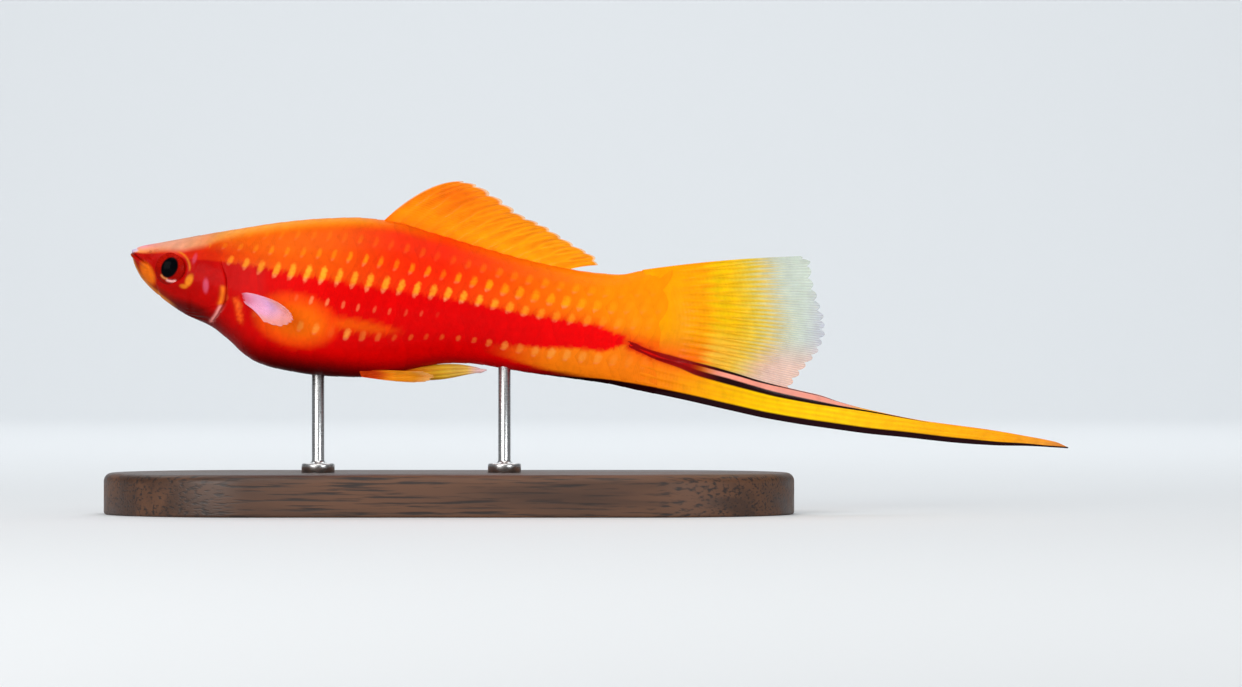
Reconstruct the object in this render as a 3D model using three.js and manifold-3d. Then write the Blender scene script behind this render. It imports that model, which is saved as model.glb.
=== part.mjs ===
// Male swordtail (Xiphophorus hellerii, red-orange garden form) as a life-size still model on a
// plain display stand. Millimetres, +Z up. The origin is the middle of the stand's underside,
// the head points to -X and the fish's left side faces -Y.
//
// The fish is drawn level in its own frame, with x running from the tip of the snout (0) to the
// tip of the sword, z up from the snout and y across, and one group then tips its head up.
import * as THREE from "three";
import { mergeVertices } from "three/addons/utils/BufferGeometryUtils.js";
import Module from "manifold-3d";

const wasm = await Module();
wasm.setup();
const { clamp, degToRad, lerp, smoothstep } = THREE.MathUtils;

// Driving dimensions of the fish
const STANDARD_LENGTH = 77; // snout to the end of the body, at the root of the tail fin
const SWORD_TIP = 138.6; // snout to the tip of the sword
const GAP = 0.3; // clear space between parts that touch
const HEAD_UP = degToRad(8); // pitch of the swimming fish
const SNOUT_AT = new THREE.Vector3(-46, 0, 38);
const SWAY_FROM = 34; // the body curves gently to one side from here to both ends
const SWORD_SWAY = 4; // sideways drift at the tip of the sword
const SNOUT_SWAY = 0.6;
const BODY_SIDES = 32;
const HEAD_STEP = 0.9; // spacing of the sections as far as the gill opening
const HEAD_LENGTH = 16.2;
const TRUNK_STEP = 2.2;
const BODY_REACH = 82; // the body's form runs on this far inside the tail fin's root

// Driving dimensions of the stand
const BASE_LENGTH = 100;
const BASE_WIDTH = 44;
const BASE_HEIGHT = 6;
const BASE_BEVEL = 0.8;
const ROD_RADIUS = 0.9;
const ROD_SUNK = 2.5; // how far each rod enters the belly
const ROD_PLACES = { front: -19, rear: 8 };
const COLLAR_RADIUS = 2.4;
const COLLAR_HEIGHT = 1.4;

// Fins: half-thickness of the membrane, and how far the rays stand up from it
const MEMBRANE = 0.26;
const FIN_EDGE = 0.16;
const RAY_RIDGE = 0.17;
const COLUMNS_PER_RAY = 4;

const finish = (color, roughness, metalness = 0) =>
  new THREE.MeshStandardMaterial({ color, roughness, metalness });
const FLESH = finish(0xf2560a, 0.35);
const CHEEK = finish(0xc8160a, 0.35);
const GOLD_FIN = finish(0xf59a12, 0.4);
const SWORD_GOLD = finish(0xf7b417, 0.4);
const PALE_FIN = finish(0xe8b4c4, 0.4);
const EYE_BLACK = finish(0x14080a, 0.1);
const WOOD = finish(0x2a1a12, 0.45);
const STEEL = finish(0xb9bcc0, 0.3, 1);

// A smooth curve through points [x, value] set by hand: cubic, and level at its own peaks.
function through(...points) {
  const last = points.length - 1;
  const step = (i) => (points[i + 1][1] - points[i][1]) / (points[i + 1][0] - points[i][0]);
  const slope = points.map((_, i) => {
    if (i === 0) return step(0);
    if (i === last) return step(last - 1);
    const [before, after] = [step(i - 1), step(i)];
    return before * after <= 0 ? 0 : (2 * before * after) / (before + after);
  });
  return (x) => {
    const at = clamp(x, points[0][0], points[last][0]);
    let i = 0;
    while (i < last - 1 && at > points[i + 1][0]) i += 1;
    const width = points[i + 1][0] - points[i][0];
    const t = (at - points[i][0]) / width;
    const rise = t * t * (3 - 2 * t);
    const lean = width * t * (1 - t) * (slope[i] * (1 - t) - slope[i + 1] * t);
    return points[i][1] * (1 - rise) + points[i + 1][1] * rise + lean;
  };
}

// Lines of the body, each a value for x: back and belly heights, half-width, the height of the
// widest level, and how square the section is above and below it (2 is an ellipse, 1 a diamond).
const back = through(
  [0, 0.3], [1.2, 1.0], [4, 1.95], [9, 3.6], [15, 5.5], [21, 7.3], [27, 8.7], [33, 9.6],
  [37, 9.7], [42, 9.0], [50, 7.8], [58, 6.8], [65, 6.35], [70, 6.55], [74, 7.75], [82, 10],
);
const belly = through(
  [0, -0.7], [0.9, -2.3], [2, -3.7], [5.3, -6.1], [9, -7.9], [12.8, -9.1], [16, -10.95],
  [18, -12.35], [20.2, -13.35], [23, -13.85], [28, -14.05], [34, -13.6], [39, -12.6],
  [44, -10.7], [48, -9.6], [52, -9.2], [60, -9.4], [70, -9.35], [76, -9.75], [82, -10.1],
);
const halfWidth = through(
  [0, 1.0], [0.5, 1.5], [2, 2.2], [4, 2.95], [6.5, 3.6], [9, 4.1], [12, 4.5], [16, 4.9],
  [21, 5.4], [27, 5.7], [33, 5.5], [42, 4.7], [52, 3.7], [62, 2.85], [70, 2.2], [76, 1.6],
  [82, 1.1],
);
const widestLevel = through(
  [0, -0.1], [4, -1.3], [9, -2.6], [14, -3.2], [22, -4.0], [32, -3.4], [46, -1.8], [60, -1.4],
  [82, -0.6],
);
const upperSquareness = through([0, 2.2], [4, 2.7], [9, 2.6], [16, 2.2], [30, 1.9], [60, 2]);
const lowerSquareness = through([0, 2], [5, 1.9], [12, 1.8], [24, 2.1], [44, 1.8], [60, 2]);

// Lines across the body, each x for a height z: the gill opening's rear edge, the slanting start
// of the tail, and the rounded end of the body, which the tail fin's rays spring from.
const gillEdge = through(
  [-12, 12.4], [-8.6, 13.1], [-6.9, 14], [-4.6, 14.7], [-2.2, 14.4], [0.6, 13.2], [2.4, 12.9],
  [8, 14.2],
);
const tailStart = through([-12, 59], [-9, 60], [6.5, 66], [9, 66.5]);
const rounding = through([-12, -1], [-9.5, -0.8], [-5, 0.6], [0, 1], [5, -0.6], [9, -3.4], [14, -6]);
const bodyEnd = (z) => STANDARD_LENGTH + rounding(z);

// One ring of the body at x, grown outwards by grow and pushed out sideways by cheek(x, z).
function bodyRing(x, grow, cheek) {
  const level = widestLevel(x);
  const ring = [];
  for (let j = 0; j < BODY_SIDES; j += 1) {
    const turn = (2 * Math.PI * j) / BODY_SIDES;
    const [cos, sin] = [Math.cos(turn), Math.sin(turn)];
    const up = cos >= 0;
    const power = 2 / (up ? upperSquareness(x) : lowerSquareness(x));
    const reach = (up ? back(x) - level : level - belly(x)) + grow;
    const z = level + Math.sign(cos) * reach * Math.abs(cos) ** power;
    const y = Math.sign(sin) * (halfWidth(x) + grow + cheek(x, z)) * Math.abs(sin) ** power;
    ring.push(new THREE.Vector3(x, y, z));
  }
  return ring;
}

// The flank's distance from the middle plane at x and height z.
function flank(x, z) {
  const level = widestLevel(x);
  const up = z >= level;
  const reach = up ? back(x) - level : level - belly(x);
  const n = up ? upperSquareness(x) : lowerSquareness(x);
  const share = Math.min(1, Math.abs(z - level) / reach);
  return halfWidth(x) * (1 - share ** n) ** (1 / n);
}

// Joins rings of equal length, which run along +X, into one closed surface.
function closedRings(rings) {
  const around = rings[0].length;
  const last = rings.length - 1;
  const middle = (ring) => {
    const sum = ring.reduce((total, v) => total.add(v), new THREE.Vector3());
    return sum.divideScalar(around);
  };
  const points = [...rings.flat(), middle(rings[0]), middle(rings[last])];
  const [start, end] = [points.length - 2, points.length - 1];
  const index = [];
  for (let j = 0; j < around; j += 1) {
    const next = (j + 1) % around;
    for (let i = 0; i < last; i += 1) {
      const [a, b] = [i * around + j, i * around + next];
      const [c, d] = [b + around, a + around];
      index.push(a, d, c, a, c, b);
    }
    index.push(start, j, next, end, last * around + next, last * around + j);
  }
  return new THREE.BufferGeometry().setFromPoints(points).setIndex(index);
}

function bodyShape({ grow = 0, cheek = () => 0 } = {}) {
  const stations = [];
  for (let x = 0; x < HEAD_LENGTH; x += HEAD_STEP) stations.push(x);
  for (let x = HEAD_LENGTH; x <= BODY_REACH; x += TRUNK_STEP) stations.push(x);
  return closedRings(stations.map((x) => bodyRing(x, grow, cheek)));
}

// A fin or other thin vane: middle(r, t) is its middle surface, half(r, t) its half-thickness.
// Both faces are split into triangles alike, so they never cross.
function vane(middle, half, columns, rows) {
  const small = 1e-3;
  const faces = [[], []];
  for (let i = 0; i <= columns; i += 1) {
    for (let j = 0; j <= rows; j += 1) {
      const [r, t] = [i / columns, j / rows];
      const across = middle(Math.min(1, r + small), t).sub(middle(Math.max(0, r - small), t));
      const along = middle(r, Math.min(1, t + small)).sub(middle(r, Math.max(0, t - small)));
      const out = across.cross(along).normalize().multiplyScalar(half(r, t));
      faces[0].push(middle(r, t).add(out));
      faces[1].push(middle(r, t).sub(out));
    }
  }
  const front = (i, j) => i * (rows + 1) + j;
  const rear = (i, j) => front(i, j) + faces[0].length;
  const index = [];
  const quad = (a, b, c, d) => index.push(a, b, c, a, c, d);
  for (let i = 0; i < columns; i += 1) {
    for (let j = 0; j < rows; j += 1) {
      quad(front(i, j), front(i + 1, j), front(i + 1, j + 1), front(i, j + 1));
      index.push(rear(i, j), rear(i + 1, j + 1), rear(i + 1, j));
      index.push(rear(i, j), rear(i, j + 1), rear(i + 1, j + 1));
    }
    quad(front(i + 1, 0), front(i, 0), rear(i, 0), rear(i + 1, 0));
    quad(front(i, rows), front(i + 1, rows), rear(i + 1, rows), rear(i, rows));
  }
  for (let j = 0; j < rows; j += 1) {
    quad(front(0, j), front(0, j + 1), rear(0, j + 1), rear(0, j));
    quad(front(columns, j + 1), front(columns, j), rear(columns, j), rear(columns, j + 1));
  }
  return new THREE.BufferGeometry().setFromPoints(faces.flat()).setIndex(index);
}

// A three.js geometry as a manifold-3d solid, and back.
function solid(geometry) {
  const bare = new THREE.BufferGeometry();
  bare.setAttribute("position", geometry.getAttribute("position")).setIndex(geometry.index);
  const merged = mergeVertices(bare, 1e-4);
  return new wasm.Manifold(
    new wasm.Mesh({
      numProp: 3,
      vertProperties: merged.getAttribute("position").array,
      triVerts: new Uint32Array(merged.index.array),
    }),
  );
}

function geometryOf(shape) {
  const { vertProperties, triVerts } = shape.getMesh();
  const geometry = new THREE.BufferGeometry();
  geometry.setAttribute("position", new THREE.BufferAttribute(vertProperties, 3));
  return geometry.setIndex(new THREE.BufferAttribute(triVerts, 1));
}

function largest(shape) {
  return shape.decompose().reduce((most, piece) => (piece.volume() > most.volume() ? piece : most));
}

// A side-view outline of [x, z] corners, filled right through from y = from to y = to.
const BEYOND = 12; // further out than any flank
function filled(corners, from = -BEYOND, to = BEYOND) {
  const outline = new THREE.Shape(corners.map(([x, z]) => new THREE.Vector2(x, z)));
  const geometry = new THREE.ExtrudeGeometry(outline, { depth: to - from, bevelEnabled: false });
  return solid(geometry.rotateX(Math.PI / 2).translate(0, to, 0));
}

// Everything in front of the line x = edge(z), moved back by shift.
const FAR = 30; // further up and down than any fin
function ahead(edge, shift) {
  const corners = [[-FAR, -FAR]];
  for (let z = -FAR; z <= FAR; z += 1) corners.push([edge(z) + shift, z]);
  corners.push([-FAR, FAR]);
  return filled(corners);
}

// Sideways curve of the swimming fish: none at SWAY_FROM, and growing towards both ends.
function sway(x) {
  const behind = Math.max(0, (x - SWAY_FROM) / (SWORD_TIP - SWAY_FROM));
  const before = Math.max(0, (SWAY_FROM - x) / SWAY_FROM);
  return SWORD_SWAY * behind * behind + SNOUT_SWAY * before * before;
}

function swayed(geometry, direction = 1) {
  const place = geometry.getAttribute("position");
  for (let i = 0; i < place.count; i += 1) {
    place.setY(i, place.getY(i) + direction * sway(place.getX(i)));
  }
  return geometry;
}

const part = new THREE.Group();
const fish = new THREE.Group();
fish.rotation.y = HEAD_UP;
fish.position.copy(SNOUT_AT);
part.add(fish);
fish.updateMatrixWorld(true);

function addPart(group, name, shape, material) {
  const mesh = new THREE.Mesh(geometryOf(largest(shape)), material);
  mesh.name = name;
  group.add(mesh);
  return mesh;
}

function addFishPart(name, shape, material) {
  swayed(addPart(fish, name, shape, material).geometry);
}

// A rod of the stand, with a collar at its foot: it stands on the base and enters the belly.
function rodShape(place, grow) {
  const foot = BASE_HEIGHT + GAP - grow;
  const shoulder = foot + COLLAR_HEIGHT;
  const under = (place - SNOUT_AT.x - belly(STANDARD_LENGTH / 2) * Math.sin(HEAD_UP)) / Math.cos(HEAD_UP);
  const underside = SNOUT_AT.z - under * Math.sin(HEAD_UP) + belly(under) * Math.cos(HEAD_UP);
  const top = underside + ROD_SUNK + grow;
  const radius = ROD_RADIUS + grow;
  const profile = [
    [0, foot], [COLLAR_RADIUS, foot], [COLLAR_RADIUS, shoulder], [radius, shoulder + ROD_RADIUS],
    [radius, top], [0, top],
  ];
  const rod = new THREE.LatheGeometry(profile.map(([r, z]) => new THREE.Vector2(r, z)), 20);
  return rod.rotateX(Math.PI / 2).translate(place, sway(under), 0);
}
const intoFish = fish.matrixWorld.clone().invert();
const rodHole = (place) => solid(swayed(rodShape(place, GAP).applyMatrix4(intoFish), -1));

// Body: head, trunk and tail are one form, parted along the gill opening and behind the vent.
const body = solid(bodyShape());
const bodyGrown = solid(bodyShape({ grow: GAP }));
let trunk = body.subtract(ahead(gillEdge, GAP / 2)).intersect(ahead(tailStart, -GAP / 2));
for (const place of Object.values(ROD_PLACES)) trunk = trunk.subtract(rodHole(place));
const tail = body.subtract(ahead(tailStart, GAP / 2)).intersect(ahead(bodyEnd, -GAP / 2));

// Head: the cheeks swell a little towards the gill opening, so the gill covers' rims stand proud.
const CHEEK_SWELL = 0.4;
const cheek = (x, z) => {
  const towards = smoothstep(x, 6, gillEdge(z));
  const inside = smoothstep(z, -9, -5) * (1 - smoothstep(z, 0.5, 3.5));
  return CHEEK_SWELL * towards * inside;
};
const headWhole = solid(bodyShape({ cheek })).intersect(ahead(gillEdge, -GAP / 2));

// Eyes: a flattened ball with a low clear dome, set in a socket that is larger by the gap.
const EYE = { x: 6.3, z: -1.6, radius: 2.3, depth: 1.7, out: 2.45, dome: 0.35 };
const EYE_RINGS = 9;
const EYE_SIDES = 22;
function eyeShape(side, grow) {
  const profile = [];
  for (let k = 0; k <= EYE_RINGS; k += 1) {
    const turn = (Math.PI * k) / EYE_RINGS;
    const bulge = EYE.dome * Math.max(0, Math.cos(turn)) ** 6;
    const radius = k % EYE_RINGS === 0 ? 0 : (EYE.radius + grow) * Math.sin(turn);
    profile.push(new THREE.Vector2(radius, -(EYE.depth + grow) * Math.cos(turn) - bulge));
  }
  const ball = new THREE.LatheGeometry(profile, EYE_SIDES).rotateX(side > 0 ? Math.PI : 0);
  return solid(ball.translate(EYE.x, side * EYE.out, EYE.z));
}

// Mouth: the lower jaw's outline runs from the gape back to its corner and down to the throat.
// The lips are round rolls along the gape, one on each jaw.
const JAW = [
  [-4, -0.25], [0.2, -0.25], [1.2, -0.7], [2.5, -1.5], [3.1, -2.5], [4, -4], [4.9, -6], [4.9, -12],
  [-4, -12],
];
const JAW_GROWN = JAW.map(([x, z]) => [x < 0 ? x : x + GAP, z <= -BEYOND ? z : z + GAP]);
const LIP_RADIUS = 0.34;
const LIP_PLACES = [2.4, 1.2, 0.35, 0.05];
const GAPE_SLOPE = 0.5;
const UPPER_LIP = 0.3;
const LOWER_LIP = -0.5;
function lip(rise) {
  const side = LIP_PLACES.map((x) => [x, 0.97 * halfWidth(x)]);
  const mirrored = side.map(([x, y]) => [x, -y]).reverse();
  const corners = [...side, [0, 0], ...mirrored];
  const centre = new THREE.CatmullRomCurve3(
    corners.map(([x, y]) => new THREE.Vector3(x, y, rise - GAPE_SLOPE * x)),
  );
  const section = new THREE.Shape().absarc(0, 0, LIP_RADIUS, 0, 2 * Math.PI);
  const options = { steps: 16, curveSegments: 4, extrudePath: centre, bevelEnabled: false };
  return solid(new THREE.ExtrudeGeometry(section, options));
}

// Nostrils: two shallow pits in front of each eye.
const NOSTRILS = [[2.7, 0.35], [3.5, 0.75]];
const NOSTRIL_RADIUS = 0.34;
const nostrils = [-1, 1].flatMap((side) =>
  NOSTRILS.map(([x, z]) => {
    const pit = new THREE.SphereGeometry(NOSTRIL_RADIUS, 8, 5);
    return solid(pit.translate(x, side * flank(x, z), z));
  }),
);

// Gill covers: plates over the gill chambers, from the front edge of the cover to the opening.
const COVER_INNER = 2.9;
const COVER_FOOT = -8.4;
const COVER_TOP = 1.7;
const coverFront = through([-9, 10.6], [-6.6, 9.8], [-3.5, 9.5], [-1, 9.9], [1.6, 11]);
function coverSpace(side, grow) {
  const [foot, top] = [COVER_FOOT - grow, COVER_TOP + grow];
  const corners = [[FAR, foot]];
  for (let k = 0; k <= 10; k += 1) {
    const z = lerp(foot, top, k / 10);
    corners.push([coverFront(z) - grow, z]);
  }
  corners.push([FAR, top]);
  const [inner, outer] = [side * (COVER_INNER - grow), side * BEYOND];
  return filled(corners, Math.min(inner, outer), Math.max(inner, outer));
}

let head = headWhole.add(lip(UPPER_LIP)).subtract(filled(JAW_GROWN));
for (const pit of nostrils) head = head.subtract(pit);
for (const side of [-1, 1]) {
  head = head.subtract(eyeShape(side, GAP)).subtract(coverSpace(side, GAP));
}
addFishPart("head", head, CHEEK);
addFishPart("lower_jaw", headWhole.add(lip(LOWER_LIP)).intersect(filled(JAW)), GOLD_FIN);
for (const [side, word] of [[-1, "left"], [1, "right"]]) {
  addFishPart(`gill_cover_${word}`, headWhole.intersect(coverSpace(side, 0)), CHEEK);
  addFishPart(`eye_${word}`, eyeShape(side, 0), EYE_BLACK);
}
addFishPart("trunk", trunk, FLESH);
addFishPart("tail", tail, FLESH);

// Height of a fin's ray above the membrane, 0 to 1: one ridge near the root, two where it forks.
function rayHeight(phase, t) {
  const off = Math.abs(phase - Math.round(phase));
  const single = Math.max(0, 1 - off * 2.6);
  const forked = off < 0.25 ? 0.45 + 2.2 * off : Math.max(0, 1 - (off - 0.25) * 4);
  return lerp(single, forked, smoothstep(t, 0.45, 0.75));
}

// A median fin: rays run from a root line to a tip line, both x and z by r, and arch by bow.
// rootHalf is the half-thickness at the root, and scallop how far the membrane's edge falls
// short of the ray tips.
function rayedFin({ root, tip, bow, rays, rows, rootHalf, scallop }) {
  const middle = (r, t) => {
    const phase = r * rays;
    const off = 2 * Math.abs(phase - Math.round(phase));
    const reach = t * (1 - scallop * off * off * t);
    const [from, to] = [root(r), tip(r)];
    const arch = bow(r) * 4 * reach * (1 - reach);
    return new THREE.Vector3(lerp(from[0], to[0], reach), 0, lerp(from[1], to[1], reach) + arch);
  };
  const half = (r, t) => {
    const thin = lerp(MEMBRANE, FIN_EDGE, t * t);
    const heel = Math.max(0, rootHalf(r) - MEMBRANE) * (1 - smoothstep(t, 0, 0.4));
    return thin + heel + RAY_RIDGE * (1 - 0.6 * t) * rayHeight(r * rays, t);
  };
  return solid(vane(middle, half, rays * COLUMNS_PER_RAY, rows));
}

// Dorsal fin: its front ray arches up and back, and its last rays trail low behind the root.
const DORSAL = { from: 35, to: 61.6, rays: 12, rows: 8, sunk: 1.2, rootHalf: 0.55 };
const dorsalTipX = through(
  [0, 46], [0.1, 48.3], [0.22, 51.2], [0.4, 55.3], [0.6, 59.6], [0.8, 64], [0.93, 66.8], [1, 67.3],
);
const dorsalTipZ = through(
  [0, 16.8], [0.1, 16.6], [0.22, 15.3], [0.4, 13.2], [0.6, 11.7], [0.8, 9.7], [0.93, 8.5], [1, 7.5],
);
const dorsalFin = rayedFin({
  root: (r) => {
    const x = lerp(DORSAL.from, DORSAL.to, r);
    return [x, back(x) - DORSAL.sunk];
  },
  tip: (r) => [dorsalTipX(r), dorsalTipZ(r)],
  bow: through([0, 1.7], [0.3, 1.2], [0.7, 0.8], [1, 0.25]),
  rays: DORSAL.rays,
  rows: DORSAL.rows,
  rootHalf: () => DORSAL.rootHalf,
  scallop: 0.05,
});
addFishPart("dorsal_fin", dorsalFin.subtract(bodyGrown), GOLD_FIN);

// Tail fin: a fan from the rounded end of the body. The sword is its lowest rays drawn out.
const swordTop = through(
  [76, -4.3], [83.5, -4.9], [89.4, -5.45], [93, -6], [98.3, -6.5], [101.7, -6.75], [104.5, -7.3],
  [109, -7.85], [118, -8.3], [126, -8.25], [133, -8.45], [136.5, -8.65], [SWORD_TIP, -9.2],
);
const swordFoot = through(
  [70, -9.35], [76, -9.7], [82, -10.1], [89, -10.7], [95, -11.15], [101, -11.3], [108, -11.3],
  [115, -11.05], [121.6, -10.85], [128, -10.4], [133, -9.8], [SWORD_TIP, -9.45],
);
const CAUDAL = { top: 7.7, foot: -4.2, rays: 13, rows: 9, sunk: 1.2 };
const caudalTipX = through(
  [0, 96.2], [0.06, 97.6], [0.2, 98.7], [0.36, 100.4], [0.48, 101.3], [0.62, 101], [0.78, 99.4],
  [0.9, 98.4], [1, 98.2],
);
const caudalTipZ = through(
  [0, 12.9], [0.06, 12.4], [0.2, 9.2], [0.36, 5.6], [0.48, 3.2], [0.62, 0.4], [0.78, -2.6],
  [0.9, -4.9], [1, -6.7],
);
// Half-thickness of the body's end at height z, which the fin's root carries on.
const endHalf = (z) => 0.3 + 0.95 * Math.sqrt(Math.max(0, 1 - ((z + 1) / 9.2) ** 2));
const caudalFin = rayedFin({
  root: (r) => {
    const z = lerp(CAUDAL.top, CAUDAL.foot, r);
    return [bodyEnd(z) - CAUDAL.sunk, z];
  },
  tip: (r) => [caudalTipX(r), caudalTipZ(r)],
  bow: through([0, 0.35], [0.5, 0], [1, -0.3]),
  rays: CAUDAL.rays,
  rows: CAUDAL.rows,
  rootHalf: (r) => endHalf(lerp(CAUDAL.top, CAUDAL.foot, r)),
  scallop: 0.025,
});
// Everything above the line where the sword parts from the fan.
const aboveSword = [[STANDARD_LENGTH - FAR, FAR]];
for (let x = STANDARD_LENGTH - FAR; x <= SWORD_TIP; x += 3) aboveSword.push([x, swordTop(x) + GAP]);
aboveSword.push([SWORD_TIP, FAR]);
const fan = caudalFin.subtract(ahead(bodyEnd, GAP / 2)).intersect(filled(aboveSword));
addFishPart("caudal_fin", fan, SWORD_GOLD);

// Sword: a few long rays side by side, deep at the root and drawn out to a point.
const SWORD = { from: 75, rays: 3, rows: 20, rootHalf: 0.34, tipHalf: 0.16, heel: 0.75 };
const swordMiddle = (r, t) => {
  const x = lerp(SWORD.from, SWORD_TIP, t);
  return new THREE.Vector3(x, 0, lerp(swordFoot(x), swordTop(x), r));
};
const swordHalf = (r, t) => {
  const heel = SWORD.heel * (1 - smoothstep(t, 0, 0.2)) * Math.sin(Math.PI * (0.1 + 0.7 * r));
  const ridge = RAY_RIDGE * (1 - 0.7 * t) * rayHeight(r * SWORD.rays, 0);
  return lerp(SWORD.rootHalf, SWORD.tipHalf, t * t) + heel + ridge;
};
const sword = solid(vane(swordMiddle, swordHalf, SWORD.rays * COLUMNS_PER_RAY, SWORD.rows));
addFishPart("sword", sword.subtract(ahead(bodyEnd, GAP / 2)), SWORD_GOLD);

// A paired fin: rays run from a short root on the flank to a curved tip line, x and z by r, and
// lift away from the body as they go. bow arches them upwards.
function pairedFin(fin, side, y) {
  const middle = (r, t) => {
    const x = lerp(lerp(fin.rootX[0], fin.rootX[1], r), fin.tipX(r), t);
    const z = lerp(lerp(fin.rootZ[0], fin.rootZ[1], r), fin.tipZ(r), t) + fin.bow(r) * 4 * t * (1 - t);
    return new THREE.Vector3(x, side * (y + fin.lift(r) * t), z);
  };
  const half = (r, t) => {
    const ridge = RAY_RIDGE * (1 - 0.6 * t) * rayHeight(r * fin.rays, t / 2);
    return lerp(MEMBRANE, FIN_EDGE, t) + ridge;
  };
  return solid(vane(middle, half, fin.rays * Math.min(3, COLUMNS_PER_RAY), fin.rows));
}

const PECTORAL = {
  rootX: [15.9, 16.4], rootZ: [-3.75, -4.65], sunk: 0.8, rays: 8, rows: 8,
  tipX: through([0, 22.4], [0.2, 23.7], [0.4, 24.7], [0.55, 24.95], [0.7, 24.4], [0.85, 22.9], [1, 20.7]),
  tipZ: through([0, -4.35], [0.2, -5], [0.4, -5.85], [0.55, -6.5], [0.7, -7.15], [0.85, -7.7], [1, -7.35]),
  bow: through([0, 0.35], [1, 0.4]),
  lift: through([0, 4.6], [0.5, 5.4], [1, 3.6]),
};
const PELVIC = {
  rootX: [35, 35.6], rootZ: [-12.3, -13.3], y: 1.6, rays: 5, rows: 6,
  tipX: through([0, 44.3], [0.45, 46], [0.75, 45.1], [1, 43.2]),
  tipZ: through([0, -11.3], [0.45, -11.8], [0.75, -12.6], [1, -13.05]),
  bow: through([0, 0], [1, -0.12]),
  lift: through([0, 1.2], [1, 0.8]),
};
for (const [side, word] of [[-1, "left"], [1, "right"]]) {
  const shoulder = flank(PECTORAL.rootX[0], PECTORAL.rootZ[0]) - PECTORAL.sunk;
  const pectoral = pairedFin(PECTORAL, side, shoulder);
  addFishPart(`pectoral_fin_${word}`, pectoral.subtract(bodyGrown), PALE_FIN);
  const pelvic = pairedFin(PELVIC, side, PELVIC.y);
  addFishPart(`pelvic_fin_${word}`, pelvic.subtract(bodyGrown), GOLD_FIN);
}

// Gonopodium: the male's anal fin, drawn out into a slender rod that lies back under the belly.
const GONOPODIUM = { from: 40.5, to: 53.4, rings: 12, sides: 10, rootHalf: 0.65, tipHalf: 0.25 };
const rodTop = through([40.5, -11.4], [45, -10], [50, -9.3], [53.4, -9.4]);
const rodFoot = through([40.5, -13], [44, -12.3], [47, -11.7], [51, -10.4], [53.4, -9.65]);
const gonopodiumRings = [];
for (let k = 0; k <= GONOPODIUM.rings; k += 1) {
  const x = lerp(GONOPODIUM.from, GONOPODIUM.to, k / GONOPODIUM.rings);
  const [top, foot] = [rodTop(x) - GAP, rodFoot(x) - GAP];
  const half = lerp(GONOPODIUM.rootHalf, GONOPODIUM.tipHalf, k / GONOPODIUM.rings);
  const ring = [];
  for (let j = 0; j < GONOPODIUM.sides; j += 1) {
    const turn = (2 * Math.PI * j) / GONOPODIUM.sides;
    const z = (top + foot) / 2 + ((top - foot) / 2) * Math.cos(turn);
    ring.push(new THREE.Vector3(x, half * Math.sin(turn), z));
  }
  gonopodiumRings.push(ring);
}
addFishPart("gonopodium", solid(closedRings(gonopodiumRings)).subtract(bodyGrown), GOLD_FIN);

// Stand: a wooden base with round ends, and two thin steel rods that enter the belly.
const [endRadius, straight] = [BASE_WIDTH / 2 - BASE_BEVEL, (BASE_LENGTH - BASE_WIDTH) / 2];
const baseOutline = new THREE.Shape();
baseOutline.absarc(straight, 0, endRadius, -Math.PI / 2, Math.PI / 2);
baseOutline.absarc(-straight, 0, endRadius, Math.PI / 2, (3 * Math.PI) / 2);
const base = new THREE.ExtrudeGeometry(baseOutline, {
  depth: BASE_HEIGHT - 2 * BASE_BEVEL,
  curveSegments: 16,
  bevelThickness: BASE_BEVEL,
  bevelSize: BASE_BEVEL,
  bevelSegments: 1,
}).translate(0, 0, BASE_BEVEL);
addPart(part, "stand_base", solid(base), WOOD);
for (const [word, place] of Object.entries(ROD_PLACES)) {
  addPart(part, `stand_rod_${word}`, solid(rodShape(place, 0)), STEEL);
}

export default part;
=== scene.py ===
"""Life-size still model of a male swordtail, of the red and orange aquarium form, on a plain display
stand. The fish is worked out in its own frame in millimetres: x runs from the tip of the snout (0)
to the tip of the sword, z is up from the snout and y is across, with the left side at -y.
in_place() then bends it, tips its head up and brings it to metres.
"""
import math

import bpy
import numpy as np
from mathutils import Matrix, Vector


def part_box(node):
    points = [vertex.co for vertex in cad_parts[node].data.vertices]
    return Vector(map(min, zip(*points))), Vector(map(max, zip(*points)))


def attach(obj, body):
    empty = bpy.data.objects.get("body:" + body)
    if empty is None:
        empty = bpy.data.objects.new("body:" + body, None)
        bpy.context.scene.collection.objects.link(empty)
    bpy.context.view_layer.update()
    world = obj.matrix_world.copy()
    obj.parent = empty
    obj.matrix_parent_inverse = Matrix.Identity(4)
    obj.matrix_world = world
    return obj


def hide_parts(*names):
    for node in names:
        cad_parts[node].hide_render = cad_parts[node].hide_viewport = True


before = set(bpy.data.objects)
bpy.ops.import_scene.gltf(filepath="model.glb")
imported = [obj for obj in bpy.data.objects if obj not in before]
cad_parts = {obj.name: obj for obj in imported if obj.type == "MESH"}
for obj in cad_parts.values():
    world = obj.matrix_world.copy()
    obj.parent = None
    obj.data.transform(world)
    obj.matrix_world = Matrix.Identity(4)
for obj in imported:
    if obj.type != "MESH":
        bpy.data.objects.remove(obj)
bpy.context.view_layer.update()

# Camera: level with the fish and square to its left side, as the photograph was taken, and above
# the table that the stand is on. One millimetre at the fish is 6.9 pixels of the 1242 x 687 frame.
VIEW_CENTRE = (0.0249, 0.0247)
VIEW_DISTANCE = 1.0
LENS_LENGTH, LENS_FRAME = 200, 36
lens = bpy.data.cameras.new("camera")
lens.lens = LENS_LENGTH
lens.sensor_width = LENS_FRAME
lens.clip_start = 0.01
camera = bpy.data.objects.new("camera", lens)
camera.location = (VIEW_CENTRE[0], -VIEW_DISTANCE, VIEW_CENTRE[1])
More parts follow.
